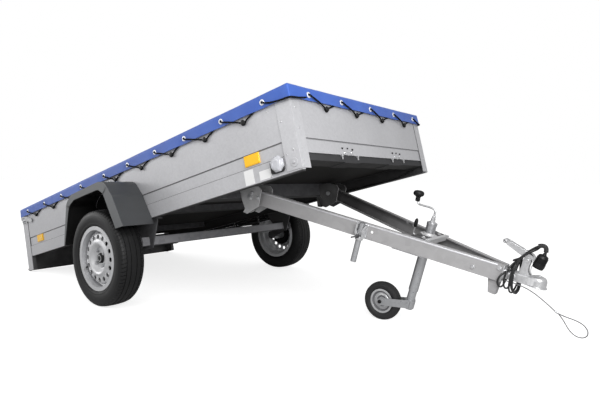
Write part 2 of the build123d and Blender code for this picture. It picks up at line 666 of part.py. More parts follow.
def beam(hole):
    """The left beam, a channel open inwards, with its pivot bush."""
    x0, x1 = -BEAM_TAIL, BEAM_LONG
    s = BEAM_SHEET
    web = s / cos(radians(BEAM_ANGLE))
    whole = [(x0, beam_line(x0)), (x1, beam_line(x1)), (x1, beam_line(x1) - BEAM_ACROSS),
             (x0, beam_line(x0) - BEAM_ACROSS)]
    core = [(x0 - 1, beam_line(x0 - 1) - web), (x1 + 1, beam_line(x1 + 1) - web),
            (x1 + 1, beam_line(x1 + 1) - BEAM_ACROSS - 5), (x0 - 1, beam_line(x0 - 1) - BEAM_ACROSS - 5)]
    body = prism_z(whole, -HALF_BEAM, HALF_BEAM) - prism_z(core, s - HALF_BEAM, HALF_BEAM - s)
    bush_in, bush_out = EAR_IN + 1, EAR_OUT - 1
    bush = rod((0, bush_in, 0), (0, bush_out, 0), PIVOT_PIN_RADIUS + PIN_GAP + PIVOT_BUSH_WALL)
    body += bush
    body -= rod((0, bush_in - 5, 0), (0, bush_out + 5, 0), PIVOT_PIN_RADIUS + PIN_GAP)
    if hole:
        body -= rod((BEAM_HOLE_PLACE, beam_line(BEAM_HOLE_PLACE) - 15, 4),
                    (BEAM_HOLE_PLACE, beam_line(BEAM_HOLE_PLACE) + 15, 4), BEAM_HOLE_RADIUS)
    return body


def plate_outline(x0, x1, inset):
    return [(x0, beam_line(x0) - inset), (x1, beam_line(x1) - inset), (x1, inset - beam_line(x1)),
            (x0, inset - beam_line(x0))]


def jockey_plates():
    """The top and bottom plates across the beams that carry the jockey wheel's tube."""
    s = JOCKEY_PLATE_SHEET
    top = prism_z(plate_outline(JOCKEY_PLATE_REAR, JOCKEY_PLATE_FRONT, 3), HALF_BEAM, HALF_BEAM + s)
    under = prism_z(plate_outline(JOCKEY_UNDER_REAR, JOCKEY_PLATE_FRONT, 3), -HALF_BEAM - s, -HALF_BEAM)
    hole = rod((JOCKEY_PLACE, 0, -HALF_BEAM * 2), (JOCKEY_PLACE, 0, HALF_BEAM * 2), JOCKEY_TUBE_RADIUS)
    return group([top - hole, under - hole])


def jockey_tube():
    """The jockey wheel's outer tube with its clamp collar and top cap."""
    p = JOCKEY_PLACE
    r, w = JOCKEY_TUBE_RADIUS, JOCKEY_TUBE_WALL
    body = tube((p, 0, JOCKEY_TUBE_BOTTOM), (p, 0, JOCKEY_TUBE_TOP), r, r - w)
    body += rod((p, 0, JOCKEY_TUBE_TOP - 6), (p, 0, JOCKEY_TUBE_TOP), r)
    body += tube((p, 0, 12), (p, 0, HALF_BEAM), r + 6, r - 1)
    return body


def jockey_crank():
    """The crank: spindle, bent arm and grip."""
    p, top = JOCKEY_PLACE, JOCKEY_TUBE_TOP
    spindle = rod((p, 0, top), (p, 0, top + 26), 9)
    end, up = p - CRANK_ARM, top + CRANK_UP
    path = FilletPolyline((p, 0, top + 20), (p, 0, up - 5), (end, 0, up), (end - 6, 0, up + 20), radius=9)
    arm = sweep(Plane(origin=path @ 0, z_dir=path % 0) * Circle(5), path=path)
    neck = rod((end - 4, 0, up + 10), (end - 7.5, 0, up + 37), 12)
    knob = rod((end - 7, 0, up + 33), (end - 10, 0, up + 66), KNOB_RADIUS)
    return spindle + arm + neck + fillet(knob.edges(), 10)


def clamp_handle():
    """The jockey clamp's screw and its upright grip."""
    p, r = JOCKEY_PLACE, JOCKEY_TUBE_RADIUS
    z = (12 + HALF_BEAM) / 2
    screw = rod((p - r - 6, 0, z), (JOCKEY_GRIP_PLACE, 0, z), 5)
    stem = rod((JOCKEY_GRIP_PLACE, 0, z - 5), (JOCKEY_GRIP_PLACE, 0, 60), 5)
    grip = rod((JOCKEY_GRIP_PLACE, 0, 56), (JOCKEY_GRIP_PLACE, 0, 103), 8.5)
    return screw + stem + fillet(grip.edges().sort_by(Axis.Z)[-1:], 6)


def jockey_inner():
    """The sliding inner tube with the swivel's end flange."""
    p = JOCKEY_PLACE
    r = JOCKEY_TUBE_RADIUS - JOCKEY_TUBE_WALL - JOCKEY_INNER_GAP
    body = tube((p, 0, JOCKEY_INNER_BOTTOM), (p, 0, JOCKEY_INNER_TOP), r, r - 3)
    return body + rod((p, 0, JOCKEY_INNER_BOTTOM - 5), (p, 0, JOCKEY_INNER_BOTTOM), r)


def jockey_fork():
    """The swivelling fork: a collar round the inner tube and an arm along each side of the wheel."""
    p, s = JOCKEY_PLACE, FORK_SHEET
    r = JOCKEY_TUBE_RADIUS - JOCKEY_TUBE_WALL - JOCKEY_INNER_GAP + PIN_GAP
    low = JOCKEY_INNER_BOTTOM + 2
    collar = tube((p, 0, low), (p, 0, low + FORK_HIGH), r + 5, r)
    reach = JOCKEY_WHEEL_WIDTH / 2 + FORK_GAP
    end = p - JOCKEY_TRAIL
    arm = [(p, low), (p, low + FORK_HIGH), (end, JOCKEY_AXLE_DOWN + 20), (end - 20, JOCKEY_AXLE_DOWN),
           (end, JOCKEY_AXLE_DOWN - 20)]
    arms = [prism_y(arm, reach, reach + s), prism_y(arm, -reach - s, -reach)]
    web = block(p - 12, p + 12, -reach - s, reach + s, low, low + FORK_HIGH) - rod(
        (p, 0, low - 1), (p, 0, low + FORK_HIGH + 1), r)
    axle = rod((end, -reach - s - 7, JOCKEY_AXLE_DOWN), (end, reach + s + 7, JOCKEY_AXLE_DOWN), JOCKEY_AXLE_RADIUS)
    body = collar + web + axle
    for piece in arms:
        body += piece
    return body


def jockey_tyre():
    shape = tyre(JOCKEY_WHEEL_RADIUS, JOCKEY_WHEEL_WIDTH / 2, JOCKEY_RIM_RADIUS - 6 + 0.3, 17, JOCKEY_RIM_RADIUS)
    return Pos(JOCKEY_PLACE - JOCKEY_TRAIL, 0, JOCKEY_AXLE_DOWN) * shape


def jockey_rim():
    """The jockey wheel's two-piece steel rim with its hub bore."""
    r, bead, bore = JOCKEY_RIM_RADIUS, JOCKEY_RIM_RADIUS - 6, JOCKEY_AXLE_RADIUS + PIN_GAP
    h = JOCKEY_WHEEL_WIDTH / 2 - 1
    shape = turned([(-19, r), (-17, r), (-17, bead), (17, bead), (17, r), (19, r), (19, bead - 3), (8, bead - 12),
                    (8, 20), (h, 15), (h, bore), (-h, bore), (-h, 15), (-8, 20), (-8, bead - 12), (-19, bead - 3)])
    return Pos(JOCKEY_PLACE - JOCKEY_TRAIL, 0, JOCKEY_AXLE_DOWN) * shape


def rise(shape):
    """Turns a coupling piece up about the drawbar's front end."""
    return Location((0, 0, 0), (0, -COUPLING_RISE, 0)) * shape


def coupling_body():
    """The coupling: bolting flange, inverted channel, domed head with the ball socket, and its edge lip."""
    x0 = HEAD_PLATE
    low, high, half = COUPLING_LOW, COUPLING_LOW + COUPLING_HIGH, COUPLING_WIDE / 2
    head = COUPLING_HEAD
    shank = block(x0 - 1, head, -half, half, low, high)
    dome = rod((head, 0, low), (head, 0, high + 8), COUPLING_HEAD_RADIUS)
    dome = fillet(dome.edges().sort_by(Axis.Z)[-1:], 20)
    lip = block(x0 - 1, head, -half - COUPLING_LIP, half + COUPLING_LIP, low, low + COUPLING_LIP)
    lip += rod((head, 0, low), (head, 0, low + COUPLING_LIP), COUPLING_HEAD_RADIUS + 4)
    w = COUPLING_WALL
    channel = block(x0 + w, head - SOCKET_RADIUS - w, w - half, half - w, low - 1, high - w)
    socket = rod((head, 0, low - 1), (head, 0, low + SOCKET_DEEP), SOCKET_RADIUS)
    body = shank + dome + lip - channel - socket
    flange = block(0, x0, -40, 40, -HALF_BEAM, HALF_BEAM)
    pin_x, pin_z = HANDLE_PIN_AHEAD, high + HANDLE_PIN_UP
    neck = block(pin_x - 20, pin_x + 18, -16, 16, high - 3, pin_z + 9)
    neck -= block(pin_x - 26, pin_x + 24, -11, 11, high + 18, pin_z + 11)
    neck -= rod((pin_x, -20, pin_z), (pin_x, 20, pin_z), HANDLE_PIN_RADIUS + PIN_GAP)
    return rise(body + neck) + flange


def coupling_handle():
    """The coupling's lift handle, a folded lever hinged in the neck."""
    x, z = HANDLE_PIN_AHEAD, COUPLING_LOW + COUPLING_HIGH + HANDLE_PIN_UP
    lever = prism_y([(x + 28, z + 4), (x + 31, z + 14), (x + 17, z + 31), (x - 4, z + 39), (x - 104, z + 71),
                     (x - 109, z + 62), (x - 97, z + 54), (x - 20, z + 17), (x - 10, z + 10.5), (x + 20, z + 10.5)], -15, 15)
    hollow = prism_y([(x + 24, z + 2), (x + 13, z + 26), (x - 8, z + 34), (x - 93, z + 61), (x - 93, z + 30),
                      (x - 20, z + 2)], -11.5, 11.5)
    pin = rod((x, -20, z), (x, 20, z), HANDLE_PIN_RADIUS)
    cam = prism_y([(x - 16, z - 22), (x + 16, z - 22), (x + 16, z + 28), (x - 10, z + 32)], -10.7, 10.7)
    return rise(lever - hollow + cam + pin)


def coupling_foot():
    """The rest foot under the beams' front end, a tapered channel."""
    top, low = -HALF_BEAM, -HALF_BEAM - FOOT_DROP
    outline = [(-52, top), (0, top), (-2, low), (-34, low)]
    body = prism_y(outline, -25, 25)
    return fillet(body.edges().filter_by(lambda e: e.center().X > -20 and abs(e.center().Y) > 20
                                         and abs(e.center().Z - (top + low) / 2) < 5), 10)


def prop_y():
    return -(beam_line(PROP_PLACE) + PROP_CLAMP_WALL + PROP_RADIUS)


def prop_clamp():
    """The clamp on the right beam that holds the prop leg, with its T-screw."""
    y, r, w = prop_y(), PROP_RADIUS, PROP_CLAMP_WALL
    h = PROP_CLAMP_HIGH / 2
    p, z = PROP_PLACE, 14 - h
    rear, front = p - 2 * PROP_CLAMP_HALF, p + 2 * PROP_CLAMP_HALF
    body = rod((p, y, -h), (p, y, h), r + w)
    body += block(p - PROP_CLAMP_HALF, p + PROP_CLAMP_HALF, y, y + r + w, -h, h)
    beam_side = [(rear, y - 1), (front, y - 1), (front, -beam_line(front)), (rear, -beam_line(rear))]
    body -= block(rear, front, y, y + 60, -h - 1, h + 1) - prism_z(beam_side, -h - 2, h + 2)
    body -= rod((p, y, -h - 1), (p, y, h + 1), r + PIN_GAP)
    out = y - r - PROP_SCREW
    screw = rod((p, y - r - 1, z), (p, out, z), 5)
    bar = rod((p - 26, out, z), (p + 26, out, z), 4)
    return body + screw + bar


def prop_leg():
    """The prop leg, a tube with a collar near its foot."""
    y, r = prop_y(), PROP_RADIUS
    body = tube((PROP_PLACE, y, PROP_BOTTOM), (PROP_PLACE, y, PROP_TOP), r, r - 2.5)
    return body + rod((PROP_PLACE, y, PROP_BOTTOM), (PROP_PLACE, y, PROP_BOTTOM + 4), r)


# ---------------------------------------------------------------- lead, plug and steel cable (nose frame)
def lead_coil():
    """The outer shape of the lead's turns, hung over the coupling's shank, and the one turn that stands above them."""
    side = prism_y(COIL_SIDE, -80, 80)
    high, w = COIL_SIDE[-1][1], COIL_WIDE
    seat = (COUPLING_LOW + COUPLING_HIGH) / cos(radians(COUPLING_RISE)) + 55 * tan(radians(COUPLING_RISE)) + PIN_GAP
    outer = prism_x([(w, -20), (w - 16, -68), (w - 38, -80), (38 - w, -80), (16 - w, -68), (-w, -20), (-w, 22),
                     (16 - w, 56), (38 - w, high), (w - 38, high), (w - 16, 56), (w, 22)], -5, 95)
    i = w - 11
    hole = prism_x([(i, -18), (i - 14, -56), (22, -68), (-22, -68), (14 - i, -56), (-i, -18), (-i, 8), (14 - i, seat),
                    (i - 14, seat), (i, 8)], -6, 96)
    return (side & outer - hole) + cord(BIGHT_ROUTE, LEAD_DIAMETER, "lead bight")


LEAD_ROUTE = [(40, -14, 66), (40, -14, 80), (48, -24, 96), (60, -32, 112), (74, -33, 133), (89, -31, 152),
              (107, -30, 168), (124, -29, 172), (138, -28, 163.5), (141, -28, 147)]
BIGHT_ROUTE = [(34, 14, 65), (34, 14, 82), (44, 26, 98), (60, 29, 116), (77, 27, 135), (93, 18, 150), (104, 2, 158),
               (106, -14, 157), (98, -28, 150), (88, -40, 138), (74, -43, 122), (58, -40, 106), (43, -32, 93),
               (29, -16, 84), (28, -14, 65)]
STEEL_ROUTE = [(6.3, -30, -26), (36, -30, -22), (65, -30.5, -20.5), (93, -30.5, -21), (122, -30.5, -24.5),
               (150, -31, -31.5), (178, -32, -41.5), (207, -33, -53.5), (238, -33.5, -67.7)]
LOOP_ROUTE = [(253.2, -35.4, -72.4), (280, -38, -73.5), (314, -39, -70.5), (346, -39, -74), (368.5, -37, -90),
              (375, -34, -113), (361, -31, -132), (335, -29, -136), (309, -28.5, -124), (288, -29, -103),
              (270.5, -30.5, -86), (253.2, -31.4, -73.5)]
PLUG_TOP, PLUG_FACE = (139.2, -28, 133.1), (131, -28, 70)
GLAND_TOP, GLAND_FOOT = (141, -28, 146.7), (138.9, -28, 131.1)
FERRULE_ENDS = (238, -33.5, -67.7), (252.7, -33.4, -72.8)


def cord(route, diameter, name):
    """A cord's tube: straight runs joined by tangent arcs, each as large as its two runs allow."""
    points = [Vector(*p) for p in route]
    radii = []
    for before, here, after in zip(points, points[1:], points[2:]):
        run = min((here - before).length, (after - here).length)
        turn = (here - before).get_angle(after - here)
        radii.append(0.45 * run / tan(radians(turn) / 2))
    path = FilletPolyline(*points, radius=radii)
    shape = sweep(Plane(origin=path @ 0, z_dir=path % 0) * Circle(diameter / 2), path=path)
    section = 3.14159265 * diameter ** 2 / 4
    print(name, "length", round(path.length, 1), "radii", [round(r) for r in radii],
          "volume ratio", round(shape.volume / (section * path.length), 4))
    return shape


def plug():
    """The lead's plug, hanging beside the coupling's handle."""
    body = fillet(rod(PLUG_TOP, PLUG_FACE, PLUG_RADIUS).edges(), 5)
    return body + rod(GLAND_TOP, GLAND_FOOT, 9)


def ferrule():
    return rod(*FERRULE_ENDS, 1.6 * STEEL_DIAMETER)


# ---------------------------------------------------------------- the sub-parts
def bed_parts():
    """Every piece on the bed, in the bed frame."""
    parts = {
        "floor_panel": floor_panel(),
        "side_wall_left": side_wall(),
        "side_wall_right": mirrored(side_wall()),
        "front_wall": front_wall(),
        "front_corner_posts": pair(front_post()),
        "rear_corner_posts": pair(rear_post()),
        "rear_buffers": pair(buffer_knob()),
        "tailgate_latches": pair(latch()),
        "chassis_side_rails": pair(side_rail()),
        "front_crossmember": front_member(),
        "pivot_crossmember": pivot_member(),
        "floor_crossmembers": floor_members(),
        "pivot_brackets": pair(pivot_bracket()),
        "pivot_bolts": pair(pivot_pin()),
        "axle_beam": axle_beam(),
        "axle_brackets": pair(axle_bracket()),
        "swing_arms": pair(swing_arm()),
        "mudguard_left": mudguard(),
        "mudguard_right": mirrored(mudguard()),
        "mudguard_stays": pair(guard_stay()),
        "tarpaulin": tarpaulin(),
        "tarpaulin_hooks": tarp_hooks(),
        "side_reflectors": side_reflectors(),
        "marker_lamp_bases": pair(marker_base()),
        "marker_lamp_lenses": pair(marker_lens()),
        "lamp_board": lamp_board(),
        "rear_lamps": pair(rear_lamp()),
        "rear_triangles": pair(rear_triangle()),
        "number_plate": number_plate(),
        "tailgate": tailgate(),
    }
    for name, side in (("left", 1), ("right", -1)):
        parts["tyre_" + name] = wheel_at(road_tyre(), side)
        parts["rim_" + name] = wheel_at(road_rim(), side)
        parts["hub_" + name] = wheel_at(road_hub(), side)
    return parts


def bar_parts():
    """Every piece on the drawbar, in the bar frame."""
    return {
        "drawbar_beam_left": beam(False),
        "drawbar_beam_right": mirrored(beam(True)),
        "jockey_mount_plates": jockey_plates(),
        "jockey_outer_tube": jockey_tube(),
        "jockey_crank": jockey_crank(),
        "jockey_clamp_handle": clamp_handle(),
        "jockey_inner_tube": jockey_inner(),
        "jockey_fork": jockey_fork(),
        "jockey_tyre": jockey_tyre(),
        "jockey_rim": jockey_rim(),
        "prop_clamp": prop_clamp(),
        "prop_leg": prop_leg(),
    }


def nose_parts():
    """Every piece ahead of or under the beams' front end, in the nose frame."""
    return {
        "coupling_body": coupling_body(),
        "coupling_handle": coupling_handle(),
        "coupling_foot": coupling_foot(),
        "lead_coil": lead_coil(),
        "lead_tail": cord(LEAD_ROUTE, LEAD_DIAMETER, "lead_tail"),
        "lead_plug": plug(),
        "steel_cable": cord(STEEL_ROUTE, STEEL_DIAMETER, "steel_cable"),
        "steel_cable_loop": cord(LOOP_ROUTE, STEEL_DIAMETER, "steel_cable_loop"),
        "steel_cable_ferrule": ferrule(),
    }


CORD_NODES = ["lead_coil", "lead_tail", "lead_plug", "steel_cable", "steel_cable_loop", "steel_cable_ferrule"]

parts = {name: BED_PLACE * shape for name, shape in bed_parts().items()}
parts.update({name: BAR_PLACE * shape for name, shape in bar_parts().items()})
parts.update({name: NOSE_PLACE * shape for name, shape in nose_parts().items()})

# The part's origin lies on the ground, under the middle of the trailer without its cords.
solid_boxes = [shape.bounding_box() for name, shape in parts.items() if name not in CORD_NODES]
MIDDLE_X = (min(box.min.X for box in solid_boxes) + max(box.max.X for box in solid_boxes)) / 2

os.makedirs("parts", exist_ok=True)
for name, shape in parts.items():
    export_step(Pos(-MIDDLE_X, 0, 0) * shape, "parts/" + name + ".step")
print(len(parts), "sub-parts, middle at", round(MIDDLE_X, 2))
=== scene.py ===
# %% [markdown]
# # A utility trailer with a tipping bed
# The trailer stands parked, with its bed tipped back on its tail and its drawbar resting on the jockey
# wheel. Its solid model is loaded first, as a fixed frame: every body is already where it belongs, in
# metres, with x forward, y to the trailer's left and z up. The cells below give each piece its finish, and
# build what a solid model leaves out: cloth, elastic lacing, the wound lead, tyre tread, bolts, lenses and
# wiring.

# %% The frame and the tools
from math import cos, pi, radians, sin

import bmesh
import bpy
from mathutils import Matrix, Vector, noise


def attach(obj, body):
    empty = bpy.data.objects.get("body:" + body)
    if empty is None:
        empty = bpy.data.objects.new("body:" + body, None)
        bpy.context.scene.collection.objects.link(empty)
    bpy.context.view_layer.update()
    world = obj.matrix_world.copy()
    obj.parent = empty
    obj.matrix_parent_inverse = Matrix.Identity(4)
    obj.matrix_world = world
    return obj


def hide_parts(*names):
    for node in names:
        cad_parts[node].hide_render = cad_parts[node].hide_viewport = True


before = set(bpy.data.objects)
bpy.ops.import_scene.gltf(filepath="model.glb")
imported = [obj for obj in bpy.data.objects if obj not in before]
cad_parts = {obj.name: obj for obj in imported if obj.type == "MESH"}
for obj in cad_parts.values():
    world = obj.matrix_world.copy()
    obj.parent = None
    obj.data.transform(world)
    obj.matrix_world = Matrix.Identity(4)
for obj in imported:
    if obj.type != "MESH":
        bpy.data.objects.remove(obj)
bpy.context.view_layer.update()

# %% [markdown]
# ## Four frames to build in
# Real drawings measure the bed along the bed and the drawbar along the drawbar, so this script does too. A
# frame is a matrix: it turns a point measured on the bed into a point on the ground. The bed leans back by
# 14.13 degrees about the wheel axis, and the drawbar points down by 14.98 degrees from the bed's pivot.

# %% Bed, bar and nose frames
MM = 0.001
MIDDLE_X = 0.3457  # the ground frame's origin lies this far ahead of the axle
TYRE_RADIUS, HALF_TRACK = 0.2735, 0.761           # metres
BED_TILT, BAR_SLOPE, COUPLING_RISE = 14.13, 14.98, 4.0                  # degrees
PIVOT_AHEAD, PIVOT_UP = 0.8525, 0.1603            # the drawbar's pivot, from the axle, measured on the bed
BEAM_LONG = 1.207
LEFT_AND_RIGHT = (("left", 1), ("right", -1))

bed = Matrix.Translation((-MIDDLE_X, 0, TYRE_RADIUS)) @ Matrix.Rotation(radians(-BED_TILT), 4, "Y")
pivot = bed @ Vector((PIVOT_AHEAD, 0, PIVOT_UP))
bar = Matrix.Translation(pivot) @ Matrix.Rotation(radians(BAR_SLOPE), 4, "Y")
nose = bar @ Matrix.Translation((BEAM_LONG, 0, 0))
head = nose @ Matrix.Rotation(radians(-COUPLING_RISE), 4, "Y")
ground = Matrix.Identity(4)


def wheel_place(side):
    """The place of a road wheel's middle: side is 1 for the left wheel and -1 for the right one."""
    return Matrix.Translation((-MIDDLE_X, side * HALF_TRACK, TYRE_RADIUS))


print("drawbar pivot at", [round(c, 3) for c in pivot])

# %% [markdown]
# ## Camera
# A person looks at the trailer from off its right front corner, from hip height, about three metres from
# its middle. The lens is a short 28 mm, which is why the near parts look large. The camera rolls by half a
# degree.

# %% Camera
camera = bpy.data.objects.new("camera", bpy.data.cameras.new("camera"))
bpy.context.scene.collection.objects.link(camera)
FOCAL_PIXELS, IMAGE_WIDE, SENSOR = 473.97, 600, 36.0
HEADING, NOD, ROLL = 37.98, -2.8, -0.49                                 # degrees
STANDS_AT = (2.5229 - MIDDLE_X, -2.2045, 0.7417)
camera.data.sensor_width = SENSOR
camera.data.lens = FOCAL_PIXELS / IMAGE_WIDE * SENSOR
look = Matrix.Rotation(radians(HEADING), 4, "Z") @ Matrix.Rotation(radians(NOD), 4, "X")
look = look @ Matrix.Rotation(radians(ROLL), 4, "Y")
stand_on_end = Matrix.Rotation(radians(90), 4, "X")       # a camera looks along -Z, and y is forward here
camera.matrix_world = Matrix.Translation(STANDS_AT) @ look @ stand_on_end
bpy.context.scene.camera = camera
print("lens", round(camera.data.lens, 1), "mm")

# %% [markdown]
# ## Colours and nodes
# Colours are written as sRGB hex, as a paint chart gives them, and one function turns them into the linear
# values that Blender mixes with. One more small function adds a shader node: its settings, its input values
# and its links all go in one call, so a material reads from its coordinates to its surface. Some nodes have
# several sockets of one name, and those are given by number: in MapRange, 1 to 4 are the range that comes
# in and the range that goes out, and in Mix, 2 and 3 are its two numbers and 6 and 7 its two colours.

# %% Colours from hex
def linear(hex_colour):
    """An sRGB hex colour as linear red, green, blue and alpha."""
    channels = [int(hex_colour[i:i + 2], 16) / 255 for i in (1, 3, 5)]
    return tuple(c / 12.92 if c <= 0.04045 else ((c + 0.055) / 1.055) ** 2.4 for c in channels) + (1.0,)


print("mid grey #808080 is", round(linear("#808080")[0], 3), "as a linear value")


# %% Nodes and materials
def add_node(tree, kind, inputs=None, **settings):
    """One shader node: inputs are values, or the sockets that feed it, by name or number."""
    node = tree.nodes.new("ShaderNode" + kind)
    for key, value in settings.items():
        setattr(node, key, value)
    for key, value in (inputs or {}).items():
        if isinstance(value, bpy.types.NodeSocket):
            tree.links.new(value, node.inputs[key])
        else:
            node.inputs[key].default_value = value
    return node


def finish_of(name, colour, **sockets):
    """A new material: returns it, its node tree and its Principled shader."""
    made = bpy.data.materials.new(name)
    made.use_nodes = True
    shader = made.node_tree.nodes["Principled BSDF"]
    shader.inputs["Base Color"].default_value = linear(colour)
    for key, value in sockets.items():
        shader.inputs[key.replace("_", " ")].default_value = value
    return made, made.node_tree, shader


def two_tone(tree, amount, low, high):
    """A colour between two hex colours, by an amount socket."""
    ramp = add_node(tree, "ValToRGB", {0: amount})
    ramp.color_ramp.elements[0].color = linear(low)
    ramp.color_ramp.elements[1].color = linear(high)
    return ramp.outputs["Color"]


# %% Sizes of patterns
def per_metre(size_mm):
    """A texture's scale for a real size: so many of them to a metre."""
    return 1000 / size_mm


def wave_scale(size_mm):
    """A wave texture's scale for a real spacing: its bands repeat every tenth of pi at scale 1."""
    return per_metre(size_mm) * pi / 10


def crossed_waves(tree, place, spacing_mm, ways, joined_by):
    """A height socket of two sets of ribs at right angles, such as a weave or a grid of prisms."""
    ribs = [add_node(tree, "TexWave", {"Vector": place, "Scale": wave_scale(spacing_mm)},
                     bands_direction=way)
            for way in ways]
    both = add_node(tree, "Math", {0: ribs[0].outputs[1], 1: ribs[1].outputs[1]}, operation=joined_by)
    return both.outputs[0]


print("ribs 2 mm apart need a wave scale of", round(wave_scale(2)))

# %% [markdown]
# ## Painted shade
# Undersides, and faces that look inwards across the trailer, are darkened in their colour: painted shade.
# Both kinds of face can be told apart from the object alone: one has its normal pointing down, the other
# has its normal pointing towards the middle, where y is zero.

# %% Where shade is painted
def painted_shade_over(tree, clean, strength=0.9, film="#201F1E"):
    """A colour socket with painted shade over it, on undersides and on faces that look inwards."""
    spot = add_node(tree, "TexCoord")
    normal = add_node(tree, "SeparateXYZ", {0: spot.outputs["Normal"]}).outputs
    along, across, _ = add_node(tree, "SeparateXYZ", {0: spot.outputs["Object"]}).outputs
    # a face looks inwards where its place and its normal point opposite ways across the trailer
    leans_in = add_node(tree, "Math", {0: across, 1: normal[1]}, operation="MULTIPLY")
    to_nose = add_node(tree, "MapRange", {0: along, 1: 0.8, 2: 1.12, 3: 1.0, 4: 0.3})
    inside = add_node(tree, "MapRange", {0: leans_in.outputs[0], 1: -0.005, 2: -0.09, 3: 0.0,
                                         4: to_nose.outputs[0]})
    # a face looks down where its normal's height is negative
    under = add_node(tree, "MapRange", {0: normal[2], 1: -0.35, 2: -0.85, 3: 0.0, 4: 1.0})
    # right at the tail, a face that looks ahead is behind something, and gets painted shade too
    at_tail = add_node(tree, "MapRange", {0: along, 1: -1.15, 2: -1.25, 3: 0.0, 4: 1.0})
    ahead = add_node(tree, "MapRange", {0: normal[0], 1: 0.4, 2: 0.8, 3: 0.0, 4: at_tail.outputs[0]})
    either = add_node(tree, "Math", {0: inside.outputs[0], 1: under.outputs[0]}, operation="MAXIMUM")
    either = add_node(tree, "Math", {0: either.outputs[0], 1: ahead.outputs[0]}, operation="MAXIMUM")
    # the painted shade is uneven, and a strength of less than 1 lets the zinc show through
    shade_patch_noise = add_node(tree, "TexNoise", {"Vector": spot.outputs["Object"], "Scale": per_metre(180),
                                         "Detail": 6.0})
    patch = add_node(tree, "MapRange", {0: shade_patch_noise.outputs[0], 1: 0.25, 2: 0.6, 3: 0.8, 4: 1.0})
    amount = add_node(tree, "Math", {0: either.outputs[0], 1: patch.outputs[0]}, operation="MULTIPLY")
    amount = add_node(tree, "Math", {0: amount.outputs[0], 1: strength}, operation="MULTIPLY")
    # the dark colour mixed in here is painted shade
    mixed = add_node(tree, "Mix", {0: amount.outputs[0], 6: clean, 7: linear(film)}, data_type="RGBA")
    return mixed.outputs[2]

# %% [markdown]
# ## Hot-dip galvanised sheet
# The walls are thin steel sheet dipped in molten zinc. The zinc freezes into flat crystals called spangle,
# here about 9 mm across, and each reflects a little differently. On new sheet that difference is only just
# visible. Cells of a Voronoi texture are crystals by nature, so one is mixed faintly into the colour and
# the roughness, with a slow noise for the handling marks.

# %% Galvanised sheet
def zinc_surface(name, low, high, metallic, roughness, spangle_mm, bump_mm, shade_strength=0.9):
    """Zinc with its spangle and painted shade on undersides and inward faces: low and high are the darkest
    and lightest crystal.
    """
    made, tree, shader = finish_of(name, high, Metallic=metallic)
    place = add_node(tree, "TexCoord").outputs["Object"]
    crystals = add_node(tree, "TexVoronoi", {"Vector": place, "Scale": per_metre(spangle_mm),
                                             "Randomness": 1.0})
    grey = add_node(tree, "SeparateColor", {0: crystals.outputs["Color"]}).outputs[0]
    cloud = add_node(tree, "TexNoise", {"Vector": place, "Scale": per_metre(320), "Detail": 3.0,
                                        "Roughness": 0.5})
    mixed = add_node(tree, "Mix", {0: 0.3, 2: cloud.outputs[0], 3: grey})
    shade = add_node(tree, "MapRange", {0: mixed.outputs[0], 1: 0.2, 2: 0.8})
    unshaded_zinc = two_tone(tree, shade.outputs[0], low, high)
    # undersides and inward faces get painted shade
    tree.links.new(painted_shade_over(tree, unshaded_zinc, shade_strength), shader.inputs["Base Color"])
    gloss = add_node(tree, "MapRange", {0: grey, 1: 0.0, 2: 1.0, 3: roughness - 0.04, 4: roughness + 0.04})
    tree.links.new(gloss.outputs[0], shader.inputs["Roughness"])
    bump = add_node(tree, "Bump", {"Strength": 0.12, "Distance": bump_mm * MM, "Height": cloud.outputs[0]})
    tree.links.new(bump.outputs[0], shader.inputs["Normal"])
    return made


galvanised_sheet = zinc_surface("galvanised_sheet_steel", "#B8B8BB", "#C6C6C9", 0.3, 0.4, 9, 1.5)
galvanised_gate = zinc_surface("galvanised_tailgate", "#B4B4B7", "#C4C4C7", 0.3, 0.4, 9, 1.0, shade_strength=0.12)
galvanised_post = zinc_surface("galvanised_corner_post", "#BDBDC0", "#CACACD", 0.3, 0.38, 9, 1.0)
print("box steels:", galvanised_sheet.name, galvanised_gate.name, galvanised_post.name)

# %% [markdown]
# The frame and the drawbar are thicker steel, dipped after welding. Thick steel stays hot for longer, so
# its zinc turns into a duller, smoother grey alloy with almost no spangle. The steel under the bed and the
# front crossmember are given dark colours, which paint the shade under the bed.

# %% Dull galvanised frame steel
galvanised_frame = zinc_surface("galvanised_frame_steel", "#9C9B9C", "#AAA9AA", 0.25, 0.5, 26, 0.8,
                                shade_strength=0.86)
galvanised_plate = zinc_surface("galvanised_fittings", "#B4B4B5", "#C8C8C9", 0.3, 0.45, 14, 0.8, shade_strength=0.94)
galvanised_axle = zinc_surface("galvanised_axle_tube", "#7C7C7F", "#96969A", 0.2, 0.5, 26, 0.8, shade_strength=0.6)
# the front crossmember and the underframe get dark colours: painted shade under the bed
galvanised_shade = zinc_surface("front_member_painted_shade", "#2C2C2E", "#3A3A3C", 0.05, 0.75, 26, 0.8,
                                shade_strength=0.8)
underframe_shade = zinc_surface("underframe_steel_painted_shade", "#454547", "#5E5E61", 0.05, 0.75, 26, 0.8,
                                shade_strength=0.8)
print("frame steels:", galvanised_frame.name, galvanised_plate.name, underframe_shade.name)
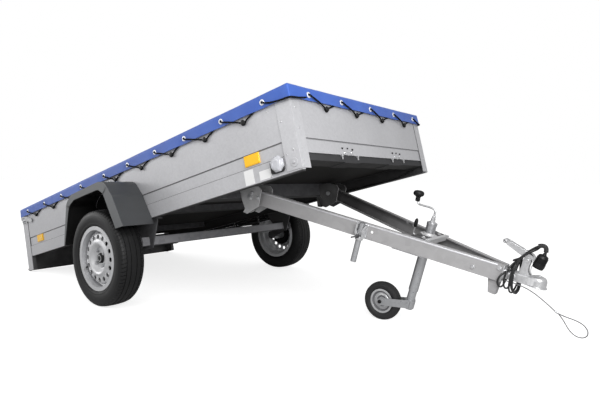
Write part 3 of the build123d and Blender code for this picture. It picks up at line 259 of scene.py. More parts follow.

# %% [markdown]
# The jockey wheel's plate lies level behind the coupling, and its upper face is darkened: painted shade.
# The faces that look up are found from their normals, as for the shade under the bed, and a noise with
# spots of about 35 mm breaks the dark patch up.

# %% Jockey plate with painted shade on top
CLEAN_ZINC, PLATE_SHADE = "#9C9C9F", "#2A2A2B"
shaded_jockey_plate, tree, shader = finish_of("jockey_plate_painted_shade", CLEAN_ZINC, Roughness=0.6)
spot = add_node(tree, "TexCoord")
upward = add_node(tree, "SeparateXYZ", {0: spot.outputs["Normal"]}).outputs[2]
faces_up = add_node(tree, "MapRange", {0: upward, 1: 0.3, 2: 0.8})
plate_shade_noise = add_node(tree, "TexNoise", {"Vector": spot.outputs["Object"], "Scale": per_metre(35),
                                    "Detail": 4.0})
patch = add_node(tree, "MapRange", {0: plate_shade_noise.outputs[0], 1: 0.3, 2: 0.6, 3: 0.75, 4: 1.0})
amount = add_node(tree, "Math", {0: faces_up.outputs[0], 1: patch.outputs[0]}, operation="MULTIPLY")
# the faces that look up get a dark colour: painted shade
tree.links.new(two_tone(tree, amount.outputs[0], CLEAN_ZINC, PLATE_SHADE), shader.inputs["Base Color"])
print("darkened on top:", shaded_jockey_plate.name)

# %% [markdown]
# ## Bright zinc plate
# Small hardware, such as the coupling, the bolts and the jockey tube, is plated with zinc in a bath. That
# layer is thin, even and bright, with a faint blue-grey tone, and it takes fine scuffs where hands and
# tools touch it.

# %% Zinc-plated hardware
def plated(name, low, high, roughness, metallic=0.7):
    """Electroplated zinc, brighter and smoother than dipped zinc."""
    made, tree, shader = finish_of(name, high, Metallic=metallic)
    place = add_node(tree, "TexCoord").outputs["Object"]
    scuff = add_node(tree, "TexNoise", {"Vector": place, "Scale": per_metre(14), "Detail": 8.0,
                                        "Roughness": 0.7})
    tree.links.new(two_tone(tree, scuff.outputs[0], low, high), shader.inputs["Base Color"])
    gloss = add_node(tree, "MapRange", {0: scuff.outputs[0], 3: roughness - 0.08, 4: roughness + 0.12})
    tree.links.new(gloss.outputs[0], shader.inputs["Roughness"])
    bump = add_node(tree, "Bump", {"Strength": 0.15, "Distance": 0.3 * MM, "Height": scuff.outputs[0]})
    tree.links.new(bump.outputs[0], shader.inputs["Normal"])
    return made


zinc_plate = plated("bright_zinc_plate", "#9B9C9F", "#C9CACC", 0.28)
nickel_eyelet = plated("nickel_plated_brass", "#E2E3E5", "#FAFAFA", 0.3, metallic=0.35)
print("plated:", zinc_plate.name, nickel_eyelet.name)

# %% [markdown]
# ## Silver wheel lacquer
# The steel wheels are sprayed with silver lacquer: fine aluminium flakes in a clear binder. The flakes give
# a metallic sheen, softer than bare metal, and the binder gives a clear gloss over it, so the coat socket
# is used.

# %% Silver lacquer
wheel_silver, tree, shader = finish_of("silver_wheel_lacquer", "#C9C9CB", Metallic=0.6, Roughness=0.42,
                                       Coat_Weight=0.35, Coat_Roughness=0.2)
place = add_node(tree, "TexCoord").outputs["Object"]
flakes = add_node(tree, "TexNoise", {"Vector": place, "Scale": per_metre(3), "Detail": 2.0})
dust = add_node(tree, "TexNoise", {"Vector": place, "Scale": per_metre(90), "Detail": 4.0})
tree.links.new(two_tone(tree, dust.outputs[0], "#C0C1C3", "#DCDCDE"), shader.inputs["Base Color"])
bump = add_node(tree, "Bump", {"Strength": 0.12, "Distance": 0.2 * MM, "Height": flakes.outputs[0]})
tree.links.new(bump.outputs[0], shader.inputs["Normal"])
print("lacquered:", wheel_silver.name)

# %% [markdown]
# ## Rubber and plastics
# Tyre rubber is black with carbon, matte, with a bloom that makes it grey where light grazes it. The
# mudguards are black polypropylene moulded with a fine pebble grain, which keeps them grey rather than
# black in daylight. Knobs, hooks and the plug are smoother black nylon. Each gets a noise at its own grain
# size; a grain too fine to show is drawn as coarse as it has to be.

# %% Rubber, nylon and polypropylene
def grained(name, low, high, roughness, grain_mm, depth_mm, strength=0.3, **sockets):
    """A moulded or coated surface with a pebble grain and slow patches of two tones."""
    made, tree, shader = finish_of(name, high, **sockets)
    place = add_node(tree, "TexCoord").outputs["Object"]
    grain = add_node(tree, "TexNoise", {"Vector": place, "Scale": per_metre(grain_mm), "Detail": 3.0})
    cloud = add_node(tree, "TexNoise", {"Vector": place, "Scale": per_metre(120), "Detail": 4.0})
    tree.links.new(two_tone(tree, cloud.outputs[0], low, high), shader.inputs["Base Color"])
    gloss = add_node(tree, "MapRange", {0: cloud.outputs[0], 3: roughness - 0.08, 4: roughness + 0.08})
    tree.links.new(gloss.outputs[0], shader.inputs["Roughness"])
    bump = add_node(tree, "Bump", {"Strength": strength, "Distance": depth_mm * MM,
                                   "Height": grain.outputs[0]})
    tree.links.new(bump.outputs[0], shader.inputs["Normal"])
    return made


tyre_rubber = grained("carbon_black_tyre_rubber", "#101011", "#1A1A1B", 0.48, 6, 0.3,
                      Specular_IOR_Level=0.36)
guard_plastic = grained("grained_polypropylene", "#38393B", "#444648", 0.46, 4, 0.3)
black_nylon = grained("moulded_black_nylon", "#0D0D0E", "#161617", 0.45, 5, 0.15, Specular_IOR_Level=0.3)
black_rubber = grained("moulded_black_rubber", "#1C1C1D", "#272728", 0.7, 5, 0.3)
lead_sheath = grained("black_pvc_sheath", "#141415", "#1F1F20", 0.38, 8, 0.1)
elastic_cover = grained("black_braided_elastic", "#08080A", "#101012", 0.85, 2, 0.4, strength=0.8,
                        Specular_IOR_Level=0.2)
print("blacks:", tyre_rubber.name, guard_plastic.name, black_nylon.name, black_rubber.name)

# %% [markdown]
# ## Coated cloth
# The cover is truck tarpaulin: polyester threads laid crosswise, 1 mm apart, buried in soft blue PVC. The
# threads press through as a fine square weave. At 1 mm they are too fine to show here, so they are drawn
# 4 mm apart. Two wave textures at right angles make the weave, and a slow noise makes the paler rubbed
# patches.

# %% Blue tarpaulin cloth
THREAD_MM = 4.0
tarpaulin_cloth, tree, shader = finish_of("blue_coated_polyester", "#385FB4", Roughness=0.48,
                                          Sheen_Weight=0.15)
place = add_node(tree, "TexCoord").outputs["Object"]
weave = crossed_waves(tree, place, THREAD_MM, "XY", "ADD")
cloud = add_node(tree, "TexNoise", {"Vector": place, "Scale": per_metre(140), "Detail": 6.0,
                                    "Roughness": 0.65})
tree.links.new(two_tone(tree, cloud.outputs[0], "#234AA4", "#406BC4"), shader.inputs["Base Color"])
bump = add_node(tree, "Bump", {"Strength": 0.25, "Distance": 0.3 * MM, "Height": weave})
tree.links.new(bump.outputs[0], shader.inputs["Normal"])
print("cloth:", tarpaulin_cloth.name, "with threads drawn", THREAD_MM, "mm apart")

# %% [markdown]
# ## Lenses, plates and board
# Lamp lenses are moulded acrylic with prisms on the inner face, which scatter light: a fine wave bump
# stands for them, under a clear gloss. Plates are white enamel. The floor is film-faced birch plywood, dark
# brown, with a wire pattern pressed into its film.

# %% Lens, plate and board
def prism_lens(name, colour, pitch_mm=5.0):
    """Moulded acrylic, with the square prisms of a reflector."""
    made, tree, shader = finish_of(name, colour, Roughness=0.16, Coat_Weight=0.6, Coat_Roughness=0.05)
    place = add_node(tree, "TexCoord").outputs["Object"]
    grid = crossed_waves(tree, place, pitch_mm, "XZ", "MULTIPLY")
    bump = add_node(tree, "Bump", {"Strength": 0.35, "Distance": 0.6 * MM, "Height": grid})
    tree.links.new(bump.outputs[0], shader.inputs["Normal"])
    return made


amber_lens = prism_lens("amber_acrylic", "#FFC416")
white_lens = prism_lens("clear_acrylic", "#BFC0C5", 9)
red_lens = prism_lens("red_acrylic", "#B3121A")
plate_white = grained("white_enamel", "#E2E2E1", "#EDEDEC", 0.3, 30, 0.05, strength=0.1)
print("lamps and plate:", amber_lens.name, white_lens.name, red_lens.name, plate_white.name)

# %% Film-faced plywood
WIRE_MM = 5
floor_board, tree, shader = finish_of("film_faced_plywood", "#2A2928", Roughness=0.85,
                                      Specular_IOR_Level=0.2)
place = add_node(tree, "TexCoord").outputs["Object"]
mesh_print = crossed_waves(tree, place, WIRE_MM, "XY", "MAXIMUM")
cloud = add_node(tree, "TexNoise", {"Vector": place, "Scale": per_metre(200), "Detail": 5.0})
tree.links.new(two_tone(tree, cloud.outputs[0], "#1B1A19", "#292827"), shader.inputs["Base Color"])
bump = add_node(tree, "Bump", {"Strength": 0.3, "Distance": 0.4 * MM, "Height": mesh_print})
tree.links.new(bump.outputs[0], shader.inputs["Normal"])
print(len(bpy.data.materials), "finishes")

# %% [markdown]
# ## Tools for making pieces
# Turned parts, such as bolts, knobs and tyres, are outlines swept round an axis. Folded and cut parts are
# outlines pushed along an axis. The helpers below return points in millimetres and faces, and `piece` joins
# any number of them into one named object, smooths it where its faces nearly agree, and lets it ride on a
# body of the trailer. A part with a hole through it is turned open, because its ends have no discs to close
# them.

# %% Turned, pushed and boxed shapes
def turned(profile, segments=32):
    """A shape turned about its z axis: the profile is (radius, height) pairs in mm, end to end."""
    points = [(r * cos(2 * pi * k / segments), r * sin(2 * pi * k / segments), h)
              for r, h in profile for k in range(segments)]
    faces = [(row * segments + k, row * segments + (k + 1) % segments,
              (row + 1) * segments + (k + 1) % segments, (row + 1) * segments + k)
             for row in range(len(profile) - 1) for k in range(segments)]
    ends = [tuple(range(segments)), tuple(range(len(points) - segments, len(points)))]
    return points, faces + [end for end, at in zip(ends, (0, -1)) if profile[at][0] > 0]


def open_turned(profile, segments=32):
    """A turned shape with no discs over its two ends, for rings and pressings with a hole."""
    points, faces = turned(profile, segments)
    return points, faces[:segments * (len(profile) - 1)]


def pushed(outline, near, far):
    """A flat outline of (x, z) pairs in mm, pushed along y from near to far."""
    count = len(outline)
    points = [(x, near, z) for x, z in outline] + [(x, far, z) for x, z in outline]
    faces = [(k, (k + 1) % count, count + (k + 1) % count, count + k) for k in range(count)]
    return points, faces + [tuple(range(count)), tuple(range(count, 2 * count))]


def boxed(low, high):
    """A box between two corners in mm, for joining to other shapes."""
    (x0, y0, z0), (x1, y1, z1) = low, high
    return pushed([(x0, z0), (x1, z0), (x1, z1), (x0, z1)], y0, y1)


# %% Places and pieces
def facing(frame_matrix, point, way, spin=0.0):
    """A place at a point in mm in a frame, with its z axis along a direction of that frame."""
    turn = Vector(way).to_track_quat("Z", "Y").to_matrix().to_4x4() @ Matrix.Rotation(radians(spin), 4, "Z")
    return frame_matrix @ Matrix.Translation(Vector(point) * MM) @ turn


def piece(name, shapes, body, finish, bevel_mm=0.0, smooth=35):
    """One object from shapes, each (points in mm, faces, place), riding on a body."""
    points, faces = [], []
    for corners, sides, place in shapes:
        first = len(points)
        points += [place @ (Vector(corner) * MM) for corner in corners]
        faces += [[first + k for k in side] for side in sides]
    made_mesh = bpy.data.meshes.new(name)
    made_mesh.from_pydata(points, [], faces)
    work = bmesh.new()
    work.from_mesh(made_mesh)
    bmesh.ops.remove_doubles(work, verts=work.verts, dist=1e-6)
    bmesh.ops.recalc_face_normals(work, faces=work.faces)
    work.to_mesh(made_mesh)
    work.free()
    made_mesh.shade_smooth()
    made_mesh.set_sharp_from_angle(angle=radians(smooth))
    made_mesh.materials.append(finish)
    made = bpy.data.objects.new(name, made_mesh)
    bpy.context.scene.collection.objects.link(made)
    if bevel_mm:
        soften(made, bevel_mm)
    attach(made, body)
    return made


def soften(thing, width_mm):
    """Rounds the sharp edges of an object, as folding, casting and handling do."""
    edge = thing.modifiers.new("worn_edges", "BEVEL")
    edge.width, edge.segments = width_mm * MM, 2
    edge.limit_method, edge.angle_limit = "ANGLE", radians(40)


# %% [markdown]
# ## Rods and pressings
# Two more helpers: a rod swept along a path whose corners are rounded by cutting them again and again, and
# a shape lofted through rings of equal count.

# %% Swept and lofted shapes
def eased(points, rounds=3):
    """A path with its corners cut: each round puts two points in place of a corner."""
    path = [Vector(p) for p in points]
    for _ in range(rounds):
        inner = [p for a, b in zip(path, path[1:]) for p in (a.lerp(b, 0.25), a.lerp(b, 0.75))]
        path = [path[0]] + inner[1:-1] + [path[-1]]
    return path


def swept(points, radius, segments=12):
    """A round rod along a path, with its ends closed."""
    ways = [(b - a).normalized() for a, b in zip(points, points[1:])]
    ways = [ways[0]] + [(a + b).normalized() for a, b in zip(ways, ways[1:])] + [ways[-1]]
    turn = ways[0].to_track_quat("Z", "Y")
    circle = [(radius * cos(2 * pi * k / segments), radius * sin(2 * pi * k / segments), 0)
              for k in range(segments)]
    rings, last = [], ways[0]
    for middle, way in zip(points, ways):
        turn = last.rotation_difference(way) @ turn
        last = way
        rings.append([middle + turn @ Vector(spot) for spot in circle])
    return lofted(rings)


def lofted(rings):
    """A shape through rings of equal count, with its two ends closed."""
    count = len(rings[0])
    faces = [(r * count + k, r * count + (k + 1) % count, (r + 1) * count + (k + 1) % count,
              (r + 1) * count + k)
             for r in range(len(rings) - 1) for k in range(count)]
    last = (len(rings) - 1) * count
    ends = [tuple(range(count)), tuple(range(last, last + count))]
    return [tuple(p) for ring in rings for p in ring], faces + ends


def pressed(outline_yz, stations):
    """A pressing along x: an outline of (y, z), and stations of (x, width factor, lift of the top)."""
    top = max(z for y, z in outline_yz)
    return lofted([[(x, y * wide, z + lift * max(0.0, z / top)) for y, z in outline_yz]
                   for x, wide, lift in stations])

# %% [markdown]
# ## The lead, wound round the coupling
# A trailer's lead is a flexible PVC cable, 8 mm thick. For parking it is wound round the coupling's shank
# and its plug hangs from the last turn. It is one cable, so it is one NURBS spline: out of a grommet in the
# front plate, three turns round the shank, which fan out below where nothing ties them, two tall turns that
# stand up beside the handle, and then over into the plug. A low turn is worked out from where its top and
# its bottom lie. The tall turns and the end are placed one by one, with no bend tighter than about 12 mm,
# as a lead of 8 mm allows.

# %% The lead's path
LEAD_THICK = 0.008
TOPS = [(36, 29.5), (39, 69), (44, 75), (38, 79)]               # x and z of each low turn's top
BOTTOMS = [(9, -66), (33, -64), (57, -74)]
HALF_WIDTHS = [59, 60, 59]
STEPS = 14                                                      # points in one whole turn
REAR_BULGE = 13                                                 # mm that the falling side swings back


def half_turn(start, end, wide, falling):
    """Points of half an oval between two (x, z) places, which bulges rearward where it falls."""
    points = []
    for step in range(STEPS // 2):
        angle = pi * step / (STEPS // 2)
        share = (1 - cos(angle)) / 2
        # most of the way is made near the bottom
        moved = 1 - (1 - share) ** 4 if falling else share ** 4
        side = -wide * sin(angle) if falling else wide * sin(angle)
        bulge = REAR_BULGE * sin(angle) if falling else 0
        points.append((start[0] + (end[0] - start[0]) * moved - bulge, side,
                       start[1] + (end[1] - start[1]) * share))
    return points


# %% The lead's low turns
# out of the grommet and up the left side
lead_points = [(6, 33, -27), (15, 33, -27), (24, 35, -25), (30, 39, -17), (34, 41, -5), (36, 40, 7),
               (37, 35, 17), (37, 26, 24), (36.5, 13, 28.5)]
for turn, wide in enumerate(HALF_WIDTHS):
    lead_points += half_turn(TOPS[turn], BOTTOMS[turn], wide, True)
    lead_points += half_turn(BOTTOMS[turn], TOPS[turn + 1], wide, False)
print("low turns:", len(lead_points), "control points")

# %% The lead's tall turns and its way to the plug
# the second turn lies just outside the first
tall_turn = [(45, -46, 62), (43, -55, 38), (45, -58, 10), (52, -56, -24), (60, -40, -52), (66, -12, -65),
             (68, 12, -65), (68, 38, -53), (61, 55, -22), (53, 57, 12), (48, 51, 40), (44, 40, 62),
             (44, 29, 80), (49, 27, 98), (62, 29, 116), (77, 27, 135), (93, 18, 150), (104, 2, 158),
             (106, -14, 157), (98, -28, 150), (86, -39, 138), (72, -43, 122), (58, -44, 103), (49, -46, 83)]
lead_points += [(39, -16, 76), (42, -34, 71)] + tall_turn
lead_points += [(x + 6, y * 1.02, z - 4 if z < 0 else z + 3) for x, y, z in tall_turn[:12]]
# over the top again, down, round a wide U behind the handle, and forward over the coupling to the plug
lead_points += [(46, 34, 82), (52, 28, 98), (66, 26, 114), (82, 22, 132), (97, 12, 146), (101, -3, 150),
                (99, -18, 147), (90, -27, 139), (78, -33, 127), (64, -35, 110), (54, -37, 97),
                (44, -38, 84), (35, -34, 76), (28, -25, 72), (25, -15, 71), (28, -6, 73), (36, -3, 79),
                (44, -9, 86)]
lead_points += [(50, -18, 94), (56, -26, 103), (64, -31, 115), (74, -33, 133), (89, -31, 152),
                (106, -30, 170), (123, -29, 176), (135, -28, 168), (137, -28, 152)]
print("lead:", len(lead_points), "control points")


# %% Cords as smooth splines
def cord_curve(name, points_mm, place, thick, finish, body):
    """A round cord along one smooth open spline."""
    line = bpy.data.curves.new(name, "CURVE")
    line.dimensions = "3D"
    spline = line.splines.new("NURBS")
    spline.points.add(len(points_mm) - 1)
    for control, point in zip(spline.points, points_mm):
        control.co = (*(place @ (Vector(point) * MM)), 1)
    spline.order_u = 3
    spline.use_endpoint_u = True
    line.resolution_u = 5
    line.bevel_depth = thick / 2
    line.bevel_resolution = 3
    line.use_fill_caps = True
    line.materials.append(finish)
    made = bpy.data.objects.new(name, line)
    bpy.context.scene.collection.objects.link(made)
    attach(made, body)
    return made


lead = cord_curve("wound_lead", lead_points, nose, LEAD_THICK, lead_sheath, "drawbar")
print("lead:", round(lead.data.splines[0].calc_length(), 2), "m of cable")

# %% [markdown]
# ## Plug, boot and grommet
# The plug is a 13-pin one, moulded in black nylon. Its body is ribbed so that a gloved hand can turn it,
# and its tail is a soft cone that keeps the lead from kinking. All of that is one turned outline, with the
# ribs cut as steps. A rubber boot covers the lead's last stretch, where it bends down into the plug. It is
# a rod swept along points that are read back from the lead's own spline, so it lies on the lead wherever
# that goes. The grommet is a rubber ring with a short cone where the lead comes through the front plate.

# %% Plug
PLUG_TIP, PLUG_FACE = Vector((137, -28, 151.8)), Vector((125, -28, 75))
plug_profile = [(0, 0), (4.9, 0), (5.6, 4), (6.6, 8), (8.6, 13), (13, 15), (18, 17), (20, 20), (20.5, 24)]
for rib in range(5):
    start = 26 + rib * 5.2
    plug_profile += [(22.6, start), (22.9, start + 2.4), (20.8, start + 3.0), (20.6, start + 4.8)]
plug_profile += [(23.2, 52), (23.8, 55), (23.8, 67), (22.6, 70), (21.4, 76.4), (19.4, 76.6), (19, 66),
                 (0, 66)]
plug_place = facing(nose, PLUG_TIP, PLUG_FACE - PLUG_TIP)
plug = piece("lead_plug_13_pin", [(*turned(plug_profile, 40), plug_place)], "drawbar",
             black_nylon, smooth=40)
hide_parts("lead_plug")
print("plug:", max(high for r, high in plug_profile), "mm long")

# %% Boot along the lead, and grommet
BOOT_LONG, BOOT_THICK = 38, 18.4
NEAR_END = 40                                                   # points of the spline that are searched
bare = bpy.data.objects.new("bare_lead", lead.data.copy())
bare.data.bevel_depth = 0
lead_line = [v.co / MM for v in bpy.data.meshes.new_from_object(bare).vertices]
bpy.data.objects.remove(bare)
boot_line = [p for p in lead_line[-NEAR_END:] if (p - lead_line[-1]).length < BOOT_LONG]
boot = piece("plug_boot", [(*swept(boot_line, BOOT_THICK / 2, 16), ground)], "drawbar", black_rubber)
grommet_profile = [(4.1, -0.5), (8.5, -0.5), (8.5, 2), (6.5, 3), (5.4, 12), (4.4, 20), (4.05, 20)]
grommet_place = facing(nose, lead_points[0], (1, 0, 0))
grommet = piece("lead_grommet", [(*turned(grommet_profile, 28), grommet_place)], "drawbar",
                black_rubber, smooth=40)
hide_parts("lead_coil", "lead_tail")
print("boot along", len(boot_line), "points of the lead")

# %% [markdown]
# ## Breakaway cable
# This thin steel rope pulls the brake on if the trailer comes off its ball, and on an unbraked trailer it
# is the tether that a country's law may ask for. It is galvanised rope, 4.5 mm thick with its coating, and
# springy enough to stand out ahead of the coupling. A pressed ferrule closes its end into an eye. Its
# strands are a diagonal wave along the curve.

# %% Steel rope finish
steel_rope, tree, shader = finish_of("galvanised_steel_rope", "#6E6E70", Metallic=0.1, Roughness=0.7)
place = add_node(tree, "TexCoord").outputs["Object"]
lay_marks = add_node(tree, "TexWave", {"Vector": place, "Scale": wave_scale(3)}, bands_direction="DIAGONAL")
tree.links.new(two_tone(tree, lay_marks.outputs[1], "#5E5E60", "#7E7E80"), shader.inputs["Base Color"])
bump = add_node(tree, "Bump", {"Strength": 0.5, "Distance": 0.4 * MM, "Height": lay_marks.outputs[1]})
tree.links.new(bump.outputs[0], shader.inputs["Normal"])
print("rope:", steel_rope.name)

# %% Steel rope, eye and ferrule
ROPE_THICK = 0.0045
rope_points = [(6.3, -30, -26), (36, -30, -22), (65, -30.5, -20.5), (93, -30.5, -21), (122, -30.5, -24.5),
               (150, -31, -31.5), (178, -32, -41.5), (207, -33, -53.5), (238, -33.5, -67.7)]
eye_points = [(253.2, -35.4, -72.4), (280, -38, -73.5), (314, -39, -70.5), (346, -39, -74),
              (368.5, -37, -90), (375, -34, -113), (361, -31, -132), (335, -29, -136), (309, -28.5, -124),
              (288, -29, -103), (270.5, -30.5, -86), (253.2, -31.4, -73.5)]
FERRULE_REAR, FERRULE_FRONT = Vector((238, -33.5, -67.7)), Vector((252.7, -33.4, -72.8))
ferrule_long = (FERRULE_FRONT - FERRULE_REAR).length
rope = cord_curve("breakaway_rope", rope_points, nose, ROPE_THICK, steel_rope, "drawbar")
eye = cord_curve("breakaway_rope_eye", eye_points, nose, ROPE_THICK, steel_rope, "drawbar")
ferrule_profile = [(0, 0), (2.4, 0), (3.6, 1), (4.4, 3.5), (3.9, 5.2), (4.4, 7), (3.9, 8.8), (4.6, 11),
                   (4.4, ferrule_long - 1), (3.6, ferrule_long), (0, ferrule_long)]
ferrule_place = facing(nose, FERRULE_REAR, FERRULE_FRONT - FERRULE_REAR)
ferrule = piece("rope_ferrule", [(*turned(ferrule_profile, 20), ferrule_place)], "drawbar",
                zinc_plate)
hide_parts("steel_cable")
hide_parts("steel_cable_loop")
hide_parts("steel_cable_ferrule")
print("ferrule", round(ferrule_long, 1), "mm long")

# %% [markdown]
# ## The flat cover
# The cover is one sheet of tarpaulin, pulled over the walls and down their outside by 63 mm. Cloth under
# tension is flat, but not perfectly: it dips a few millimetres between the walls, it rounds over the edges
# instead of folding sharply, and each eyelet pulls its hem down and in a little. A grid is made for the
# top, and from the grid's outline the skirt follows a small arc and then hangs. At the two front corners
# the skirt fans round.

# %% Cover sizes
COVER_REAR, COVER_FRONT, COVER_OUT, COVER_TOP = -1346.0, 1409.0, 652.5, 540.0
COVER_DROP, COVER_FOLD, COVER_THICK = 62.5, 11.0, 2.0
EYELET_DOWN, HOOK_DOWN = 37.0, 86.0
SIDE_EYELETS = [-1218, -933, -668, -390, -99, 166, 438, 697, 980, 1253]
FRONT_EYELETS = [-509, -242, 40, 310, 568]
SIDE_HOOKS = [-1091, -810, -534, -259, 16, 292, 573, 847, 1119]
FRONT_HOOKS = [-381, -111, 159, 433]
PULL_REACH = 95                                                 # mm of hem that one eyelet draws in
print("cover:", COVER_FRONT - COVER_REAR, "by", 2 * COVER_OUT, "mm")


# %% Slack and pull of the cloth
def slack(x, y):
    """How far the top lies below a flat one, in mm: a dip between the walls, and ripples."""
    edge = min(COVER_OUT - abs(y), COVER_FRONT - x) / 200
    dip = 5.0 * min(1.0, max(0.0, edge)) * (1 - (y / COVER_OUT) ** 2)
    broad = noise.noise(Vector((x * 0.004, y * 0.009, 3.0)))
    fine = noise.noise(Vector((x * 0.018, y * 0.03, 8.0)))
    return dip + 0.6 + 0.6 * (broad * 1.6 + fine)


def pull(along, eyelets):
    """How strongly the hem is pulled at a place along it: 1 at an eyelet, 0 between two."""
    nearest = min(abs(along - at) for at in eyelets)
    return max(0.0, 1 - nearest / PULL_REACH) ** 2


# %% Cover's top and its outline
LONG_STEPS, WIDE_STEPS = 150, 72
ROW = WIDE_STEPS + 1                                            # points in one row across
FLAT_LONG, FLAT_HALF = COVER_FRONT - COVER_FOLD - COVER_REAR, COVER_OUT - COVER_FOLD
top_x = [COVER_REAR + FLAT_LONG * k / LONG_STEPS for k in range(LONG_STEPS + 1)]
top_y = [-FLAT_HALF + 2 * FLAT_HALF * k / WIDE_STEPS for k in range(ROW)]
sheet_points = [(x, y, COVER_TOP - slack(x, y)) for x in top_x for y in top_y]
sheet_faces = [(i * ROW + k, i * ROW + k + 1, (i + 1) * ROW + k + 1, (i + 1) * ROW + k)
               for i in range(LONG_STEPS) for k in range(WIDE_STEPS)]
fan = [(sin(radians(15 * k)), cos(radians(15 * k))) for k in range(1, 6)]
# each place of the outline is a point's number and the way out from it
rim = [(i * ROW + WIDE_STEPS, (0, 1)) for i in range(LONG_STEPS + 1)]  # left edge, rear to front
rim += [(LONG_STEPS * ROW + WIDE_STEPS, (ahead, aside)) for ahead, aside in fan]
rim += [(LONG_STEPS * ROW + k, (1, 0)) for k in range(WIDE_STEPS, -1, -1)]
rim += [(LONG_STEPS * ROW, (aside, -ahead)) for ahead, aside in fan]
rim += [(i * ROW, (0, -1)) for i in range(LONG_STEPS, -1, -1)]
print("outline:", len(rim), "places")

# %% Cover's skirt
rows = [(COVER_FOLD * sin(radians(a)), COVER_FOLD * (1 - cos(radians(a)))) for a in (30, 60, 90)]
rows += [(COVER_FOLD, COVER_FOLD + (COVER_DROP - COVER_FOLD) * k / 6) for k in range(1, 7)]
above = [index for index, way in rim]
for out, down in rows:
    here = []
    for index, way in rim:
        x, y, z = sheet_points[index]
        hang = max(0.0, (down - COVER_FOLD) / (COVER_DROP - COVER_FOLD))
        on_side = abs(way[1]) > 0.99
        held = pull(x, SIDE_EYELETS) if on_side else pull(y, FRONT_EYELETS)
        along = x if on_side else y + 4000                # the front's waves differ from the sides'
        wave = noise.noise(Vector((along * 0.012, 0, 1.0 if way[1] > 0 else 5.0)))
        corner = 1 - abs(abs(way[0]) - abs(way[1])) if abs(way[0]) > 0.01 and abs(way[1]) > 0.01 else 0
        # in mm: the skirt waves by 1.6, an eyelet draws it in by 2.2, and a corner stands out by 2.5
        reach = out + hang * (1.6 * wave - 2.2 * held + 2.5 * corner)
        # the top's dip fades out down the skirt
        sag = (COVER_TOP - z) * max(0, 1 - down / 20)
        low = COVER_TOP - down - hang * (1.5 * held + 2.0 * corner) - sag
        here.append(len(sheet_points))
        sheet_points.append((x + way[0] * reach, y + way[1] * reach, low))
    sheet_faces += [(above[k], above[k + 1], here[k + 1], here[k]) for k in range(len(rim) - 1)]
    above = here
print("cover:", len(sheet_points), "points")

# %% Cover piece
cover = piece("flat_tarpaulin", [(sheet_points, sheet_faces, bed)], "bed", tarpaulin_cloth,
              smooth=60)
# the thickness goes inwards, so the faces have to look outwards
up = sum((face.normal.z > 0) * face.area for face in cover.data.polygons)
if up < 1:
    cover.data.flip_normals()
thick = cover.modifiers.new("cloth_thickness", "SOLIDIFY")
thick.thickness, thick.offset = COVER_THICK * MM, -1.0
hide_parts("tarpaulin")
print("upward cloth:", round(up, 2), "square metres")

# %% [markdown]
# ## Hem, eyelets, hooks and elastic
# The skirt's edge is turned up and welded, which shows as a raised band. Nickel-plated eyelets are punched
# through it every 27 cm. One black elastic cord, 8 mm thick, zigzags between the eyelets and round nylon
# buttons riveted to the walls: out through an eyelet, down over the skirt, round under a button, and up
# behind the skirt to the next eyelet. It is held all along, so it is trim on the cover rather than a free
# cord.

# %% Where the trim goes on each side
FRONT_AHEAD = 757.0  # how much further out the front wall is than a side wall, in mm


def on_right(x, out, z):
    """A point near the right wall: out is the distance from the bed's middle."""
    return Vector((x, -out, z))


def on_left(x, out, z):
    """A point near the left wall."""
    return Vector((x, out, z))


def on_front(y, out, z):
    """A point near the front wall, with out measured as if the wall were a side wall."""
    return Vector((out + FRONT_AHEAD, y, z))


SIDES = [(on_right, SIDE_EYELETS, SIDE_HOOKS, (0, -1, 0)),
         (on_front, FRONT_EYELETS, FRONT_HOOKS, (1, 0, 0)),
         (on_left, SIDE_EYELETS[::-1], SIDE_HOOKS[::-1], (0, 1, 0))]
print("trim on", len(SIDES), "sides")

# %% Eyelets and hooks
eyelet_profile = [(6.4, -1.5), (6.4, 1.2), (7.4, 2.4), (10.5, 2.9), (13.2, 2.0), (14.4, 0.3), (14.4, -0.4),
                  (9.0, -0.6), (9.0, -1.5)]
hook_profile = [(0, 0), (8.5, 0), (8.8, 2.5), (7.0, 3.5), (6.8, 9.0), (9.5, 10.0), (12.4, 10.8),
                (12.9, 12.5), (11.5, 14.4), (7.5, 15.4), (0, 15.8)]
eyelet_shapes, hook_shapes = [], []
for place_on, eyelets, hooks, way in SIDES:
    for at in eyelets:
        middle = place_on(at, COVER_OUT - 2.0, COVER_TOP - EYELET_DOWN)
        eyelet_shapes.append((*turned(eyelet_profile, 24), facing(bed, middle, way)))
    for at in hooks:
        middle = place_on(at, 640, COVER_TOP - HOOK_DOWN)
        hook_shapes.append((*turned(hook_profile, 28), facing(bed, middle, way)))
eyelets_made = piece("cover_eyelets", eyelet_shapes, "bed", nickel_eyelet)
hooks_made = piece("cover_hooks", hook_shapes, "bed", black_nylon)
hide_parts("tarpaulin_hooks")
print(len(eyelet_shapes), "eyelets and", len(hook_shapes), "hooks")


# %% Elastic lacing
LACING_THICK = 0.008


def lace(place_on, eyelets, hooks):
    """Control points of the lacing along one side, from its first eyelet to its last."""
    up, low = COVER_TOP - EYELET_DOWN, COVER_TOP - HOOK_DOWN
    points = []
    for here, button, there in zip(eyelets, hooks, eyelets[1:]):
        way = 1 if there > here else -1
        points += [place_on(here, 646, up + 1), place_on(here, 655, up + 2),
                   place_on(here + 4 * way, 659, up - 5),
                   place_on(here + 0.25 * (button - here), 658.5, up - 15),
                   place_on(here + 0.55 * (button - here), 656.5, low + 20),
                   place_on(button - 13 * way, 649, low + 3), place_on(button - 10 * way, 647.5, low - 8),
                   place_on(button, 647, low - 12.5), place_on(button + 10 * way, 646.5, low - 8),
                   place_on(button + 14 * way, 646, low + 4),
                   place_on(button + 0.45 * (there - button), 645, low + 22),
                   place_on(there - 12 * way, 645, up - 6), place_on(there - 3 * way, 645, up - 1)]
    return points + [place_on(eyelets[-1], 646, up + 1), place_on(eyelets[-1], 655, up + 2)]


